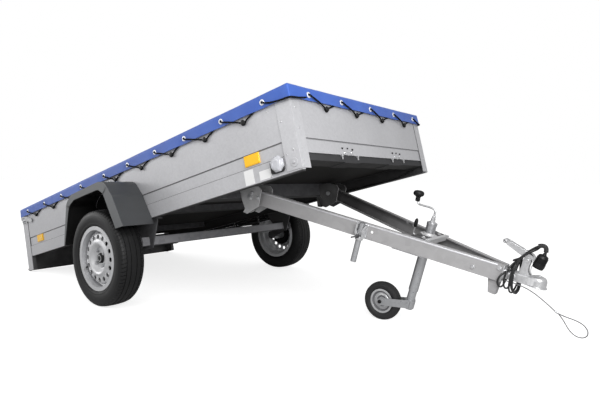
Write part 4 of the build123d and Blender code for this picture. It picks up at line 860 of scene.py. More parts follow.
# between two sides the lacing runs round a corner, under the hem
laced = lace(*SIDES[0][:3])
laced += [Vector((1262, -659, 497)), Vector((1300, -658, 484)), Vector((1350, -657, 477)),
          Vector((1395, -657, 474)), Vector((1411, -651, 474)), Vector((1415, -635, 474)),
          Vector((1414, -600, 476)), Vector((1412, -550, 484)), Vector((1403, -520, 492))]
laced += lace(*SIDES[1][:3])
laced += [Vector((1415, 578, 497)), Vector((1415, 605, 482)), Vector((1415, 635, 474)),
          Vector((1411, 651, 474)), Vector((1395, 657, 474)), Vector((1350, 657, 477)),
          Vector((1300, 657, 484)), Vector((1268, 650, 494))]
laced += lace(*SIDES[2][:3])
cord_curve("elastic_lacing", laced, bed, LACING_THICK, elastic_cover, "bed")
print("lacing:", len(laced), "control points")

# %% Welded hem
hem_shapes = []
hem_line = [Vector(p) for p in sheet_points[-len(rim):]]
lift, INSIDE, OUTSIDE = Vector((0, 0, 14)), 2.6, 0.7  # the band's height, and how far it stands off
BAND_FACES = [(0, 1, 2, 3), (4, 5, 6, 7), (0, 1, 5, 4), (3, 2, 6, 7)]
for k, (a, b) in enumerate(zip(hem_line, hem_line[1:])):
    way_a, way_b = Vector((*rim[k][1], 0)), Vector((*rim[k + 1][1], 0))
    low_in = [a - way_a * INSIDE, b - way_b * INSIDE]
    low_out = [a + way_a * OUTSIDE, b + way_b * OUTSIDE]
    corners = [corner for near, far in (low_in, low_out) for corner in (near, far, far + lift, near + lift)]
    hem_shapes.append(([tuple(c) for c in corners], BAND_FACES, bed))
hem = piece("tarpaulin_hem", hem_shapes, "bed", tarpaulin_cloth, smooth=50)
print("hem of", len(hem_shapes), "stretches")

# %% [markdown]
# ## Tyres
# The road tyre is a 155/70 R13. Its tread has four grooves round it and a row of cross cuts at each
# shoulder. The tyre is turned like a part on a lathe, but its outline changes round the circle: at each cut
# the shoulder's points drop by 5 mm, with steep walls. The sidewall is smooth and a little glossy, with a
# raised rib that guards the rim.

# %% Road tyre
TREAD_CUTS, CUT_DEEP = 76, 5.5
# each point is (out from the middle, radius) in mm, and in the shoulder also how far a cut reaches in
half_profile = [(58, 181.0), (61, 182.0), (65.0, 186.0), (68.4, 190.5), (70.2, 191.5), (72.4, 197.0),
                (72.0, 199.0), (74.6, 206.0), (76.6, 215.0), (77.4, 224.0), (77.2, 233.0), (75.8, 241.0),
                (75.6, 243.0), (73.4, 248.5), (71.2, 253.5)]
shoulder = [(69.6, 257.5, 0.4), (67.4, 261.5, 1.0), (64.0, 265.4, 1.0), (59.5, 268.2, 1.0),
            (52.0, 269.9, 1.0), (45.0, 271.0, 0.6), (44.2, 271.2, 0.0)]
crown = [(43.8, 267.5), (40.6, 267.6), (40.2, 271.6), (29.0, 272.4), (18.6, 272.8), (18.2, 268.5),
         (14.6, 268.6), (14.2, 273.0), (4.0, 273.4)]
right = [(y, r, 0.0) for y, r in half_profile] + shoulder + [(y, r, 0.0) for y, r in crown]
outline = right + [(-y, r, cut) for y, r, cut in reversed(right)]


def treaded(outline, cuts, depth, cut_share=0.16):
    """A tyre's points about the y axis: a cut lowers the points that it reaches, and leans a little."""
    points, faces = [], []
    pitch = 2 * pi / cuts
    around = []
    for cut in range(cuts):
        start = cut * pitch
        around += [(start, 0), (start + pitch * (0.5 - cut_share / 2), 0),
                   (start + pitch * (0.5 - cut_share / 2 + 0.03), 1),
                   (start + pitch * (0.5 + cut_share / 2 - 0.03), 1),
                   (start + pitch * (0.5 + cut_share / 2), 0)]
    for angle, low in around:
        for y, r, reach in outline:
            lean = y * 0.0006 * (1 if abs(y) > 40 else 0)
            radius = r - depth * reach * low
            turn = angle + lean * abs(y) / 60
            points.append((radius * cos(turn), y, radius * sin(turn)))
    count = len(outline)
    for k in range(len(around)):
        after = (k + 1) % len(around)
        faces += [(k * count + j, k * count + j + 1, after * count + j + 1, after * count + j)
                  for j in range(count - 1)]
    return points, faces


for name, side in LEFT_AND_RIGHT:
    wheel_middle = wheel_place(side)
    tread_piece = piece("road_tyre_" + name, [(*treaded(outline, TREAD_CUTS, CUT_DEEP), wheel_middle)],
                        "wheel_" + name, tyre_rubber, smooth=32)
    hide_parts("tyre_" + name)
print("tyre:", len(outline), "points across,", TREAD_CUTS, "cuts round")

# %% [markdown]
# ## Wheel fittings
# Four plated bolts with round seats hold each wheel, a rubber snap-in valve stands in one of the rim's
# holes, and a black nylon cap covers the hub's nut. A hexagon head is a turned shape with six segments, and
# a washer is one with many.

# %% Bolt heads
def bolt(place, across_mm, high_mm, washer_mm=0.0, dome=0.25):
    """Shapes of a hexagon bolt head on its washer, standing along the place's z axis."""
    r = across_mm / 2 / cos(radians(30))
    base = 1.6 if washer_mm else 0.0
    top = base + high_mm
    head_profile = [(0, base), (r, base), (r, base + high_mm * (1 - dome)), (r * 0.86, top), (0, top)]
    shapes = [(*turned(head_profile, 6), place)]
    if washer_mm:
        ring = [(0, 0), (washer_mm / 2, 0), (washer_mm / 2, 1.2), (washer_mm / 2 - 0.5, base), (0, base)]
        shapes.append((*turned(ring, 24), place))
    return shapes


def rivet(place, head_mm, high_mm=None):
    """A domed rivet or cup-square bolt head."""
    r, high = head_mm / 2, high_mm or head_mm * 0.3
    profile = [(0, 0), (r, 0), (r, high * 0.25), (r * 0.86, high * 0.62), (r * 0.5, high * 0.93), (0, high)]
    return [(*turned(profile, 16), place)]


print("a head 17 mm across is", round(17 / cos(radians(30)), 1), "mm over its corners")

# %% Wheel bolts, caps and valves
BOLT_CIRCLE, DISC_FACE, VALVE_CIRCLE = 49.0, 30.0, 150
BOLT_TURN, VALVE_TURN = 38, 207                                         # degrees
for name, side in LEFT_AND_RIGHT:
    wheel_middle = wheel_place(side)
    out = Vector((0, side, 0))
    shapes = []
    for turn in range(4):
        angle = radians(90 * turn + BOLT_TURN)
        at = Vector((BOLT_CIRCLE * cos(angle), side * (DISC_FACE + 5.4), BOLT_CIRCLE * sin(angle)))
        shapes += bolt(facing(wheel_middle, at, out, spin=15), 17, 12, 24)
    piece("wheel_bolts_" + name, shapes, "wheel_" + name, zinc_plate)
    cap_profile = [(28.4, 0), (28.4, 8), (27.2, 12), (24, 15.5), (20.5, 16.8), (20, 15.6), (8, 16.4),
                   (0, 16.6)]
    cap_place = facing(wheel_middle, out * (DISC_FACE + 1), out)
    piece("hub_cap_" + name, [(*turned(cap_profile, 40), cap_place)], "wheel_" + name, black_nylon)
    valve_profile = [(0, -14), (8, -14), (8, -2), (6.4, 0), (4.6, 3), (4.2, 20), (4.9, 21), (4.9, 30),
                     (3.4, 31), (0, 31)]
    angle = radians(VALVE_TURN)
    at = Vector((VALVE_CIRCLE * cos(angle), side * 27, VALVE_CIRCLE * sin(angle)))
    lean = Vector((-0.25 * cos(angle), side, -0.25 * sin(angle)))
    piece("tyre_valve_" + name, [(*turned(valve_profile, 20), facing(wheel_middle, at, lean))],
          "wheel_" + name, black_rubber)
print("wheels dressed")

# %% [markdown]
# ## Coupling
# The ball coupling is pressed from 4 mm steel and plated bright: an inverted channel with a rolled lip that
# swells into the domed head over the ball. Its lever is a folded channel with a rolled end and a padlock
# slot, hinged between two curved cheeks.

# %% Coupling body
bright_zinc = plated("polished_zinc_plate", "#A5A6A9", "#F0F0F1", 0.3)
HALF, BALL_AHEAD = 23.0, 0.143  # the shank's half width in mm, and the ball's place in metres
channel = [(-HALF - 5, -18), (-HALF - 5, -14.5), (-HALF - 1, -13.5), (-HALF, -11), (-HALF, 13),
           (-HALF + 2.5, 19), (-HALF + 8, 22), (HALF - 8, 22), (HALF - 2.5, 19), (HALF, 13), (HALF, -11),
           (HALF + 1, -13.5), (HALF + 5, -14.5), (HALF + 5, -18), (HALF - 4, -18), (HALF - 4, 11),
           (HALF - 9, 18), (-HALF + 9, 18), (-HALF + 4, 11), (-HALF + 4, -18)]
shank = pressed(channel, [(5, 1, 0), (96, 1, 0), (104, 1.02, 0.5), (112, 1.1, 2), (120, 1.24, 4),
                          (128, 1.36, 6), (136, 1.42, 7.5)])
dome = turned([(0, 14), (25.2, 14), (25.2, -18), (38.4, -18), (38.8, -16), (37.5, -13.5), (34.6, -12.5),
               (34, -9), (34, 8), (33, 14.5), (30, 21.5), (25, 26.5), (18, 29.4), (9, 30.4), (0, 30.6)], 48)
rivet_ring = turned([(0, 30), (9, 30), (9.6, 31.2), (8.4, 33), (4, 34), (0, 34.2)], 24)
cheek = [(44, 20), (54, 24), (61, 32), (65, 44), (66.5, 60), (66, 78), (69, 90), (76, 95), (90, 94),
         (97, 88), (99, 80), (96, 66), (95, 50), (97, 38), (102, 28), (110, 20)]
cheeks = [pushed(cheek, side * 16, side * 13) for side in (-1, 1)]
bridge = boxed((70, -15, 20), (94, 15, 26))
flange = pushed([(0, -37.5), (6, -37.5), (6, 33), (3, 37.5), (0, 37.5)], -39, 39)
catch_line = eased([(106, -15, 88), (110, -14, 76), (104, -14, 58), (108, -14, 36), (118, -13, 24)])
catch = swept(catch_line, 1.8, 8)
nuts = [shape for x in (24, 46) for shape in bolt(facing(head, (x, -HALF - 0.5, 2), (0, -1, 0)), 13, 7, 20)]
over_ball = head @ Matrix.Translation((BALL_AHEAD, 0, 0))
coupling_shapes = [(*shank, head), (*dome, over_ball), (*rivet_ring, over_ball)]
coupling_shapes += [(*one, head) for one in cheeks]
coupling_shapes += [(*bridge, head), (*flange, nose), (*catch, head), *nuts]
coupling = piece("ball_coupling", coupling_shapes, "drawbar", bright_zinc, bevel_mm=0.7,
                 smooth=40)
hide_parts("coupling_body")
print("coupling of", len(coupling_shapes), "shapes")

# %% Coupling lever
LEVER_HALF, LEVER_SLOPE = 16.5, 17.7                                # mm, and degrees up to the rear
lever_turn = Matrix.Rotation(radians(LEVER_SLOPE - 180), 4, "Y")
lever_place = head @ Matrix.Translation((0.080, 0, 0.120)) @ lever_turn
lever_place = lever_place @ Matrix.Scale(-1, 4, (0, 0, 1))
# four parts of the plate leave a slot for a padlock between them
plate_parts = [(0, -LEVER_HALF, 80, LEVER_HALF), (80, -LEVER_HALF, 97, -7), (80, 7, 97, LEVER_HALF),
               (97, -LEVER_HALF, 103, LEVER_HALF)]
plate = [boxed((x0, y0, -3), (x1, y1, 0)) for x0, y0, x1, y1 in plate_parts]
curl_turns = [radians(15 * k) for k in range(19)]
curl_arc = [(103 + 10 * sin(a), 10 * cos(a) - 10) for a in curl_turns]
curl_in = [(103 + 6.6 * sin(a), 6.6 * cos(a) - 10) for a in curl_turns]
curl = pushed(curl_arc + curl_in[::-1], -LEVER_HALF, LEVER_HALF)
side_outline = [(0, 0), (99, 0), (97, -14), (90, -20), (60, -23), (20, -27), (0, -30)]
sides = [pushed(side_outline, side * LEVER_HALF, side * (LEVER_HALF - 3)) for side in (-1, 1)]
fold = [(80, 121), (101, 113), (115, 96), (112, 86), (106, 87), (110, 95), (98, 109.5), (79, 117.5)]
end_fold = pushed(fold, -LEVER_HALF, LEVER_HALF)
end_side = [(80, 121), (101, 113), (115, 96), (112, 86), (98, 92.5), (74, 92.5), (64, 99)]
end_cheeks = [pushed(end_side, side * LEVER_HALF, side * (LEVER_HALF - 3)) for side in (-1, 1)]
hinge = turned([(0, -19.5), (7, -19.5), (7.6, -18.5), (7.6, -17), (5, -16.5), (5, 16.5), (7.6, 17),
                (7.6, 18.5), (7, 19.5), (0, 19.5)], 20)
lever = piece("coupling_lever", [*[(*one, lever_place) for one in plate + sides + [curl]],
                                 *[(*one, head) for one in [end_fold] + end_cheeks],
                                 (*hinge, facing(head, (84, 0, 82), (0, 1, 0)))],
              "drawbar", bright_zinc, bevel_mm=0.6, smooth=40)
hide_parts("coupling_handle")
print("coupling dressed")

# %% [markdown]
# ## Jockey wheel's hand parts
# The crank is a bent round bar with a nylon knob like a mushroom. The clamp's lever is a thinner bar, bent
# upright, with an oval grip. A cap with a bearing closes the tube, and a hexagon nut holds the crank in it.

# %% Crank, knob and clamp lever
TUBE_X, TUBE_TOP = 832.0, 106.5
crank_line = eased([(832, 0, 108), (832, 0, 146), (830, 0, 170), (800, 0, 175), (762, 0, 172),
                    (736, 0, 172), (729, 0, 192)])
sleeve = turned([(0, 0), (11.5, 0), (11.5, 3), (10.5, 4), (10.5, 16), (8.5, 18), (8.5, 27), (7, 29),
                 (0, 29)], 6)
collar = turned([(0, 0), (18, 0), (18.5, 2), (15, 5), (0, 5)], 32)
at_top = facing(bar, (TUBE_X, 0, TUBE_TOP), (0, 0, 1), spin=12)
on_collar = at_top @ Matrix.Translation((0, 0, 0.005))
crank = piece("crank_bar", [(*swept(crank_line, 5.0), bar), (*sleeve, on_collar), (*collar, at_top)],
              "drawbar", bright_zinc, smooth=40)
knob_profile = [(0, 0), (9.5, 0), (11.8, 2.5), (11.4, 18), (12.6, 23.5), (18, 26), (23.6, 29.5), (26.2, 35),
                (26.6, 41), (24.8, 47), (20, 51.5), (12, 54), (0, 55)]
piece("crank_knob", [(*turned(knob_profile, 40), facing(bar, (729, 0, 184), (-0.09, 0, 1)))], "drawbar",
      black_nylon, smooth=50)
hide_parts("jockey_crank")
lever_line = eased([(804, 0, 24.7), (776, 0, 21), (757, 0, 20), (751, 0, 30), (752, 0, 46), (752, 0, 62)])
clamp_lever = piece("clamp_lever", [(*swept(lever_line, 4.2), bar)], "drawbar", bright_zinc)
grip_profile = [(0, 0), (5.6, 0), (7.6, 2.5), (9.2, 12), (9.6, 22), (8.8, 33), (6.6, 40.5), (3.4, 44.5),
                (0, 45.5)]
piece("clamp_grip", [(*turned(grip_profile, 28), facing(bar, (752, 0, 57), (0, 0, 1)))], "drawbar",
      black_nylon, smooth=60)
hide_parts("jockey_clamp_handle")
cap = turned([(0, 0.4), (24.2, 0.4), (24.2, -12), (25.4, -12), (25.4, -2), (24.3, 0.6), (12, 1.6),
              (0, 1.6)], 40)
piece("jockey_tube_cap", [(*cap, facing(bar, (TUBE_X, 0, TUBE_TOP), (0, 0, 1)))], "drawbar",
      zinc_plate, smooth=40)
print("jockey hand parts dressed")

# %% [markdown]
# ## Prop leg's clamp
# The prop leg stands in a bracket of two pressed ears on the right beam, whose free edges are wavy where
# the press formed its ribs. A screw with a T-bar pinches the tube, under them.

# %% Prop clamp
PROP_X, PROP_Y, BEAM_FACE = 588.0, -231.5, -213.0
EAR_TURN = 0.2822                                                   # radians, as the beam runs
near_ear = [(602, 34), (609, 33), (606, 22), (601, 10), (597, -2), (602, -14), (608, -24), (604, -36),
            (597, -36), (595, -24), (591, -10), (590, 4), (595, 18)]
far_ear = [(556, 30), (564, 31), (566, 16), (563, 4), (568, -8), (574, -22), (570, -30), (560, -22),
           (556, -8)]
tilt = bar @ Matrix.Translation((PROP_X * MM, BEAM_FACE * MM, 0)) @ Matrix.Rotation(EAR_TURN, 4, "Z")
tilt = tilt @ Matrix.Translation((-PROP_X * MM, -BEAM_FACE * MM, 0))
back = boxed((556, BEAM_FACE - 4, -35), (612, BEAM_FACE, 33))
ears = [pushed(near_ear, BEAM_FACE, BEAM_FACE - 36), pushed(far_ear, BEAM_FACE, BEAM_FACE - 30)]
ring = open_turned([(14.5, -9), (19, -9), (19.6, -7), (19.6, 7), (19, 9), (14.5, 9), (14.5, -9)], 32)
clamp_shapes = [(*back, tilt), *[(*one, tilt) for one in ears],
                (*ring, facing(bar, (PROP_X, PROP_Y, -36), (0, 0, 1)))]
prop_clamp = piece("prop_clamp_ears", clamp_shapes, "drawbar", bright_zinc, bevel_mm=0.8)
screw_end = (PROP_X + 3, PROP_Y - 40, -24)
screw = swept([Vector((PROP_X, PROP_Y - 15, -26)), Vector(screw_end)], 5, 12)
t_bar = swept([Vector((PROP_X - 22, PROP_Y - 38, -38)), Vector((PROP_X + 24, PROP_Y - 38, -12))], 3.6, 12)
boss = turned([(0, 0), (9.5, 0), (9.5, 9), (7.5, 11), (0, 11)], 24)
piece("prop_t_screw", [(*screw, bar), (*t_bar, bar),
                       (*boss, facing(bar, (PROP_X, PROP_Y - 17, -26), (0, -1, 0)))],
      "drawbar", underframe_shade, smooth=40)
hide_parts("prop_clamp")
print("prop clamp turned by", round(EAR_TURN, 2), "radians")

# %% [markdown]
# ## Bolts on the drawbar
# Each beam's front end is bolted to the coupling's plate, and the left beam has two bolts where the jockey
# wheel's lower plate ends. The pivot brackets are bolted to the frame with three bolts each, and a bent
# brace stands behind each of them. A beam is folded from sheet, so its top outer edge is round: a rod of
# the fold's radius lies in the edge, in a lighter zinc than the beam, which paints a highlight along it.

# %% Folds of the drawbar beams
BEAM_MM = 1207.0
REAR_HALF, FRONT_HALF = 383.0, 33.0              # the outer faces' distance from the middle, at either end
FOLD_RADIUS, FOLD_HIGH = 7.0, 31.4


def beam_face(x):
    """How far the beams' outer faces lie from the middle, in mm, in the bar frame."""
    return REAR_HALF - (REAR_HALF - FRONT_HALF) / BEAM_MM * x


folds = []
for side in (-1, 1):
    ends = [Vector((x, side * (beam_face(x) - 6.0), FOLD_HIGH)) for x in (40, 1180)]
    folds.append((*swept(ends, FOLD_RADIUS, 20), bar))
# the corner posts' lighter zinc on the fold rods is a painted highlight
piece("drawbar_folds", folds, "drawbar", galvanised_post, smooth=60)
print("beams run in from", beam_face(0), "to", round(beam_face(BEAM_MM), 1), "mm")

# %% Drawbar bolts and pivot braces
bar_bolts = []
for x, z, big in ((1192, 20, 15), (1090, -10, 13)):
    for side in (-1, 1):
        at = (x, side * (beam_face(x) + 0.2), z)
        bar_bolts += bolt(facing(bar, at, (0, side, 0), spin=20), big, 6, big * 1.55)
for x, z in ((626, 28), (671, 23)):
    bar_bolts += bolt(facing(bar, (x, beam_face(x) - 4.4, z), (0, -1, 0)), 13, 7, 19)
    bar_bolts += rivet(facing(bar, (x, beam_face(x) + 0.2, z), (0, 1, 0)), 17)
piece("drawbar_bolts", bar_bolts, "drawbar", bright_zinc)
bracket_bolts, braces = [], []
for side in (-1, 1):
    for x, z in ((868, 173), (854, 151), (906, 142)):
        bracket_bolts += bolt(facing(bed, (x, side * 408.2, z), (0, side, 0), spin=x), 15, 8, 22)
    far = side * 330.0
    brace = [(746, 182), (766, 178), (803, 98), (790, 88), (762, 86), (737, 96)]
    braces.append((*pushed(brace, far, far + side * 3), bed))
    braces.append((*pushed([(748, 180), (754, 180), (776, 92), (768, 90)], far, far + side * 40), bed))
piece("pivot_bracket_bolts", bracket_bolts, "bed", bright_zinc)
piece("pivot_bracket_braces", braces, "bed", galvanised_plate, bevel_mm=0.6)
print("drawbar bolted")

# %% [markdown]
# ## Swage shadows, joints and rivets of the box
# A thin dark strip along each of the two lines of the walls' pressed band paints the shadow under its step.
# Upright dark strips are the joints where the corner posts meet the walls. Blind rivets and small bolts
# hold the corner posts and the band's inner stiffeners.

# %% Swage shadows and joints of the walls
POST_FACE, WALL_FACE, FRONT_FACE = 643.0, 640.0, 1397.0
joint_and_shadow_finish = grained("joint_sealant_and_painted_shadow", "#3C3C3E", "#4C4C4E", 0.7, 8, 0.1)
# the long strips paint the shadow under the band's steps; the upright ones are dark joints
strip_places = [((-1264, WALL_FACE - 1, 303.2), (1313, WALL_FACE + 0.5, 305.8)),
              ((-1264, WALL_FACE - 3.2, 241.2), (1313, WALL_FACE + 0.3, 242.6)),
              ((FRONT_FACE - 1, 578.5, 240), (FRONT_FACE + 0.8, 580.5, 533)),
              ((1313.4, WALL_FACE - 1, 172), (1315, WALL_FACE + 0.8, 533))]
joint_and_shadow_strips = [(*boxed((x0, side * y0, z0), (x1, side * y1, z1)), bed)
         for side in (-1, 1) for (x0, y0, z0), (x1, y1, z1) in strip_places]
joint_and_shadow_strips.append((*boxed((FRONT_FACE - 1, -580, 303.2), (FRONT_FACE + 0.5, 580, 306.2)), bed))
piece("wall_joints_and_swage_shadows", joint_and_shadow_strips, "bed", joint_and_shadow_finish)
print(len(joint_and_shadow_strips), "laps sealed")

# %% Rivets and small bolts of the box
POST_STARTS = 1315                                                      # the front posts' rear edge
box_rivets = []
for side in (-1, 1):
    for y, z in ((616, 437), (616, 346), (617, 257), (626, 205), (627, 184)):
        box_rivets += rivet(facing(bed, (1400.0, side * y, z), (1, 0, 0)), 9, 2.6)
    for x, z, wide in ((1262, 459, 9), (1331, 391, 9), (1370, 258, 13), (1330, 247, 9), (1223, 174, 12)):
        face = POST_FACE if x > POST_STARTS else WALL_FACE
        box_rivets += rivet(facing(bed, (x, side * face, z), (0, side, 0)), wide, 3)
    for z in (420, 330, 235, 150, 95):
        box_rivets += rivet(facing(bed, (-1290, side * POST_FACE, z), (0, side, 0)), 9, 2.4)
        box_rivets += rivet(facing(bed, (-1345, side * 629.0, z), (-1, 0, 0)), 9, 2.4)
print(len(box_rivets), "rivets on the box")

# %% Small bolts of the band
dark_bolts = []
BAND_PLACES = ((-46, 273, 11), (-1, 274, 9), (43, 270, 11), (-31, 251, 12), (0, 247, 13), (28, 254, 12))
for middle in (-252, 263):
    for y, z, across in BAND_PLACES:
        upper = z > 265                                                 # the upper ones are small and black
        wide = across * 0.62 if upper else across
        place = facing(bed, (1394.2, middle + y, z), (1, 0, 0), spin=y)
        (dark_bolts if upper else box_rivets).extend(bolt(place, wide, 4, wide * 1.5))
piece("box_rivets", box_rivets, "bed", bright_zinc, smooth=40)
piece("band_bolts", dark_bolts, "bed", black_nylon, smooth=40)
print("band bolts in", 2 * len(BAND_PLACES), "places")

# %% Hanging bolts and corner plates
hanging = []
for y in (-317, -176, 195, 332):
    shape = turned([(0, 0), (4, 0), (4, 14), (8.2, 14.2), (8.2, 20), (10.5, 20.2), (10.5, 22), (0, 22)], 6)
    hanging.append((*shape, facing(bed, (1399, y, 218), (0, 0, 1))))
    hanging.append((*boxed((1393, y - 11, 238.5), (1406, y + 11, 240)), bed))
piece("seat_bolts", hanging, "bed", bright_zinc)
round_plate = turned([(0, 0), (21, 0), (21, 1.6), (20, 2.4), (0, 2.4)], 8)
plates = [(*round_plate, facing(bed, (1363, side * POST_FACE, 203), (0, side, 0), spin=22.5))
          for side in (-1, 1)]
for side in (-1, 1):
    plates += bolt(facing(bed, (1363, side * 645.2, 203), (0, side, 0)), 10, 4, 15)
    plates.append((*boxed((1390, side * POST_FACE, 168), (1399, side * 644.6, 173)), bed))
piece("corner_round_plates", plates, "bed", galvanised_post, bevel_mm=0.4)
print("box riveted")

# %% [markdown]
# ## Side lamps, reflectors and labels
# The front marker lamp is an eight-sided clear lens with a stepped outline, over a black rubber base. The
# amber reflectors are two layers of acrylic, with rounded corners. Two paper labels at the front of the
# right wall are left blank.

# %% Marker lamps
base_outline = [(-40, -22), (-34, -28), (26, -28), (34, -20), (34, 24), (28, 29), (-32, 29), (-40, 22)]
lens_profile = [(0, 11), (36.5, 11), (37, 14), (36, 20), (33.2, 22), (32.6, 24), (27.6, 31.2), (22.8, 32),
                (22, 33.5), (12.5, 34.4), (12, 33.2), (0, 33.6)]
for name, side in LEFT_AND_RIGHT:
    base = pushed([(1272 + x, 208 + z) for x, z in base_outline], side * WALL_FACE, side * 651.5)
    marker = piece("marker_base_" + name, [(*base, bed)], "bed", black_rubber, bevel_mm=2)
    lens_at = facing(bed, (1279, side * WALL_FACE, 217), (0, side, 0), spin=22.5)
    lens = piece("marker_lens_" + name, [(*turned(lens_profile, 8), lens_at)], "bed", white_lens,
                 smooth=20)
    soften(lens, 1.2)
    if side == 1:
        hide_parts("marker_lamp_bases")
        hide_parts("marker_lamp_lenses")
print("marker lamps", max(high for _, high in lens_profile), "mm deep")

# %% Reflectors and labels
def rounded_plate(long, high, corner, steps=5):
    """An outline of a plate with round corners, about its middle."""
    outline = []
    for k, (sx, sz) in enumerate(((1, 1), (-1, 1), (-1, -1), (1, -1))):
        for step in range(steps + 1):
            angle = radians(90 * k + 90 * step / steps)
            outline.append((sx * (long / 2 - corner) + corner * cos(angle),
                            sz * (high / 2 - corner) + corner * sin(angle)))
    return outline


REFLECTOR_HIGH = 277
reflectors = []
for side in (-1, 1):
    for x in (1124, -1091):
        for long, high, out in ((96, 51, 5.2), (88, 44, 7.2)):
            shape = [(x + a, REFLECTOR_HIGH + c) for a, c in rounded_plate(long, high, 3.5)]
            reflectors.append((*pushed(shape, side * 636.5, side * (637 + out)), bed))
reflector = piece("side_reflector_lenses", reflectors, "bed", amber_lens, bevel_mm=1.0)
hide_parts("side_reflectors")
label_paper = grained("white_label_paper", "#DCDCDC", "#EFEFEF", 0.6, 30, 0.05, strength=0.05)
labels = [(*boxed((x0, -641.0, z0), (x1, -640.2, z1)), bed)
          for x0, x1, z0, z1 in ((1061, 1119, 168, 236), (1154, 1226, 172, 213))]
piece("blank_labels", labels, "bed", label_paper)
print("lamps and labels")

# %% [markdown]
# ## Behind and over the wheels
# A thin steel shield behind each wheel's disc, and a sheet against the wall inside each mudguard, are near
# black: painted shade. The inner face of a mudguard is darkened to near black too, painted shade, while its
# outer face keeps its grey. Whether a face looks at the axle or away from it is again a matter of its
# normal: the direction from the axle to the point, times the normal, is positive on the outside. The flat
# flanks are smoother than the grained top, so they are a lighter grey.

# %% Painted shade behind the wheel discs and inside the mudguards
shade_shield_profile = [(38.6, 0), (60, 0), (78, 3), (88, 3), (88, 4.2), (77, 4.2), (60, 1.4), (38.6, 1.4)]
shade_black = grained("painted_shade_black_plastic", "#0B0B0B", "#141313", 0.85, 8, 0.4, Specular_IOR_Level=0.15)
SHADE_SHEET_OUTLINE = [(-334, 166), (-240, 360), (-180, 398), (133, 402), (192, 386), (246, 302), (300, 166)]
shade_sheets = []
for name, side in LEFT_AND_RIGHT:
    wheel_middle = wheel_place(side)
    place = facing(wheel_middle, (0, side * 9, 0), (0, side, 0))
    # near-black shields behind the discs and sheets inside the mudguards paint the shade there
    piece("hub_shade_shield_" + name, [(*turned(shade_shield_profile, 40), place)], "wheel_" + name, shade_black)
    shade_sheets.append((*pushed(SHADE_SHEET_OUTLINE, side * 640.4, side * 642.6), bed))
piece("mudguard_shade_sheets", shade_sheets, "bed", shade_black)
print(len(shade_sheets), "shade_sheets")

# %% Painted shade inside the mudguards
tree = guard_plastic.node_tree
shader = tree.nodes["Principled BSDF"]
clean = shader.inputs["Base Color"].links[0].from_socket
spot = add_node(tree, "TexCoord")
from_axle = add_node(tree, "VectorMath", {0: spot.outputs["Object"], 1: (-MIDDLE_X, 0, TYRE_RADIUS)},
                     operation="SUBTRACT")
flat = add_node(tree, "VectorMath", {0: from_axle.outputs[0], 1: (1, 0, 1)}, operation="MULTIPLY")
outward = add_node(tree, "VectorMath", {0: flat.outputs[0], 1: spot.outputs["Normal"]},
                   operation="DOT_PRODUCT")
# faces that look towards the axle get near-black painted shade
shaded_inside = add_node(tree, "MapRange", {0: outward.outputs["Value"], 1: -0.02, 2: -0.1, 3: 0.0, 4: 1.0})
sideways = add_node(tree, "SeparateXYZ", {0: spot.outputs["Normal"]}).outputs[1]
sideways = add_node(tree, "Math", {0: sideways}, operation="ABSOLUTE")
flank = add_node(tree, "MapRange", {0: sideways.outputs[0], 1: 0.75, 2: 0.95, 3: 0.0, 4: 1.0})
banded = add_node(tree, "Mix", {0: flank.outputs[0], 6: clean, 7: linear("#5E6062")}, data_type="RGBA")
mixed = add_node(tree, "Mix", {0: shaded_inside.outputs[0], 6: banded.outputs[2], 7: linear("#0D0D0D")},
                 data_type="RGBA")
tree.links.new(mixed.outputs[2], shader.inputs["Base Color"])
print("mudguards lined")

# %% [markdown]
# ## Tail
# The lamps are modern three-part ones on a black base: amber to the outside for the indicator, red in the
# middle for tail and brake, and clear inside for reversing. The number plate is blank, in a black holder
# with a small lamp at each end. The tailgate is held by a toggle latch on each post and turns on two leaves
# at its foot.

# %% Rear lamps
TAIL = -1345.0
lamp_bases, lamp_parts = [], {"amber": [], "red": [], "clear": []}
for side in (-1, 1):
    low, high = sorted((side * 414.0, side * 601))
    lamp_bases.append((*boxed((TAIL - 12, low, 107), (TAIL, high, 207)), bed))
    for kind, near, far, deep in (("amber", 546, 597, 33), ("red", 470, 544, 34), ("clear", 418, 468, 31)):
        low, high = sorted((side * near, side * far))
        lamp_parts[kind].append((*boxed((TAIL - deep, low, 111), (TAIL - 12, high, 203)), bed))
    round_lens = turned([(0, 0), (19, 0), (19, 2), (17, 3.2), (0, 3.4)], 28)
    lamp_parts["red"].append((*round_lens, facing(bed, (TAIL - 34, side * 507, 157), (-1, 0, 0))))
piece("rear_lamp_bases", lamp_bases, "bed", black_nylon, bevel_mm=3)
red_part = piece("rear_lamp_red", lamp_parts["red"], "bed", red_lens, bevel_mm=4)
piece("rear_lamp_amber", lamp_parts["amber"], "bed", amber_lens, bevel_mm=4)
piece("rear_lamp_clear", lamp_parts["clear"], "bed", white_lens, bevel_mm=4)
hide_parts("rear_lamps")
print("rear lamps of", sum(len(parts) for parts in lamp_parts.values()), "parts")

# %% Plate holder, plate lamps and reflector screws
holder = [(*boxed((TAIL - 6.5, -238, z0), (TAIL - 2, 238, z1)), bed) for z0, z1 in ((82, 90), (200, 208))]
holder += [(*boxed((TAIL - 6.5, y0, 82), (TAIL - 2, y1, 208)), bed)
           for y0, y1 in ((-238, -230), (230, 238))]
holder += [(*boxed((TAIL - 24, y - 34, 209), (TAIL, y + 34, 231)), bed) for y in (-150, 150)]
piece("plate_holder", holder, "bed", black_nylon, bevel_mm=1.5)
windows = [(*boxed((TAIL - 21, y - 26, 206.8), (TAIL - 5, y + 26, 209.2)), bed) for y in (-150, 150)]
piece("plate_lamp_windows", windows, "bed", white_lens, bevel_mm=0.6)
screws = []
for side in (-1, 1):
    for y, z, out in ((281, 104, 9), (364, 104, 9), (322, 168, 9), (205, 145, 4), (60, 100, 4)):
        screws += rivet(facing(bed, (TAIL - out, side * y, z), (-1, 0, 0)), 9, 2.6)
piece("tail_screws", screws, "bed", bright_zinc, smooth=40)
print(len(screws), "tail screws")

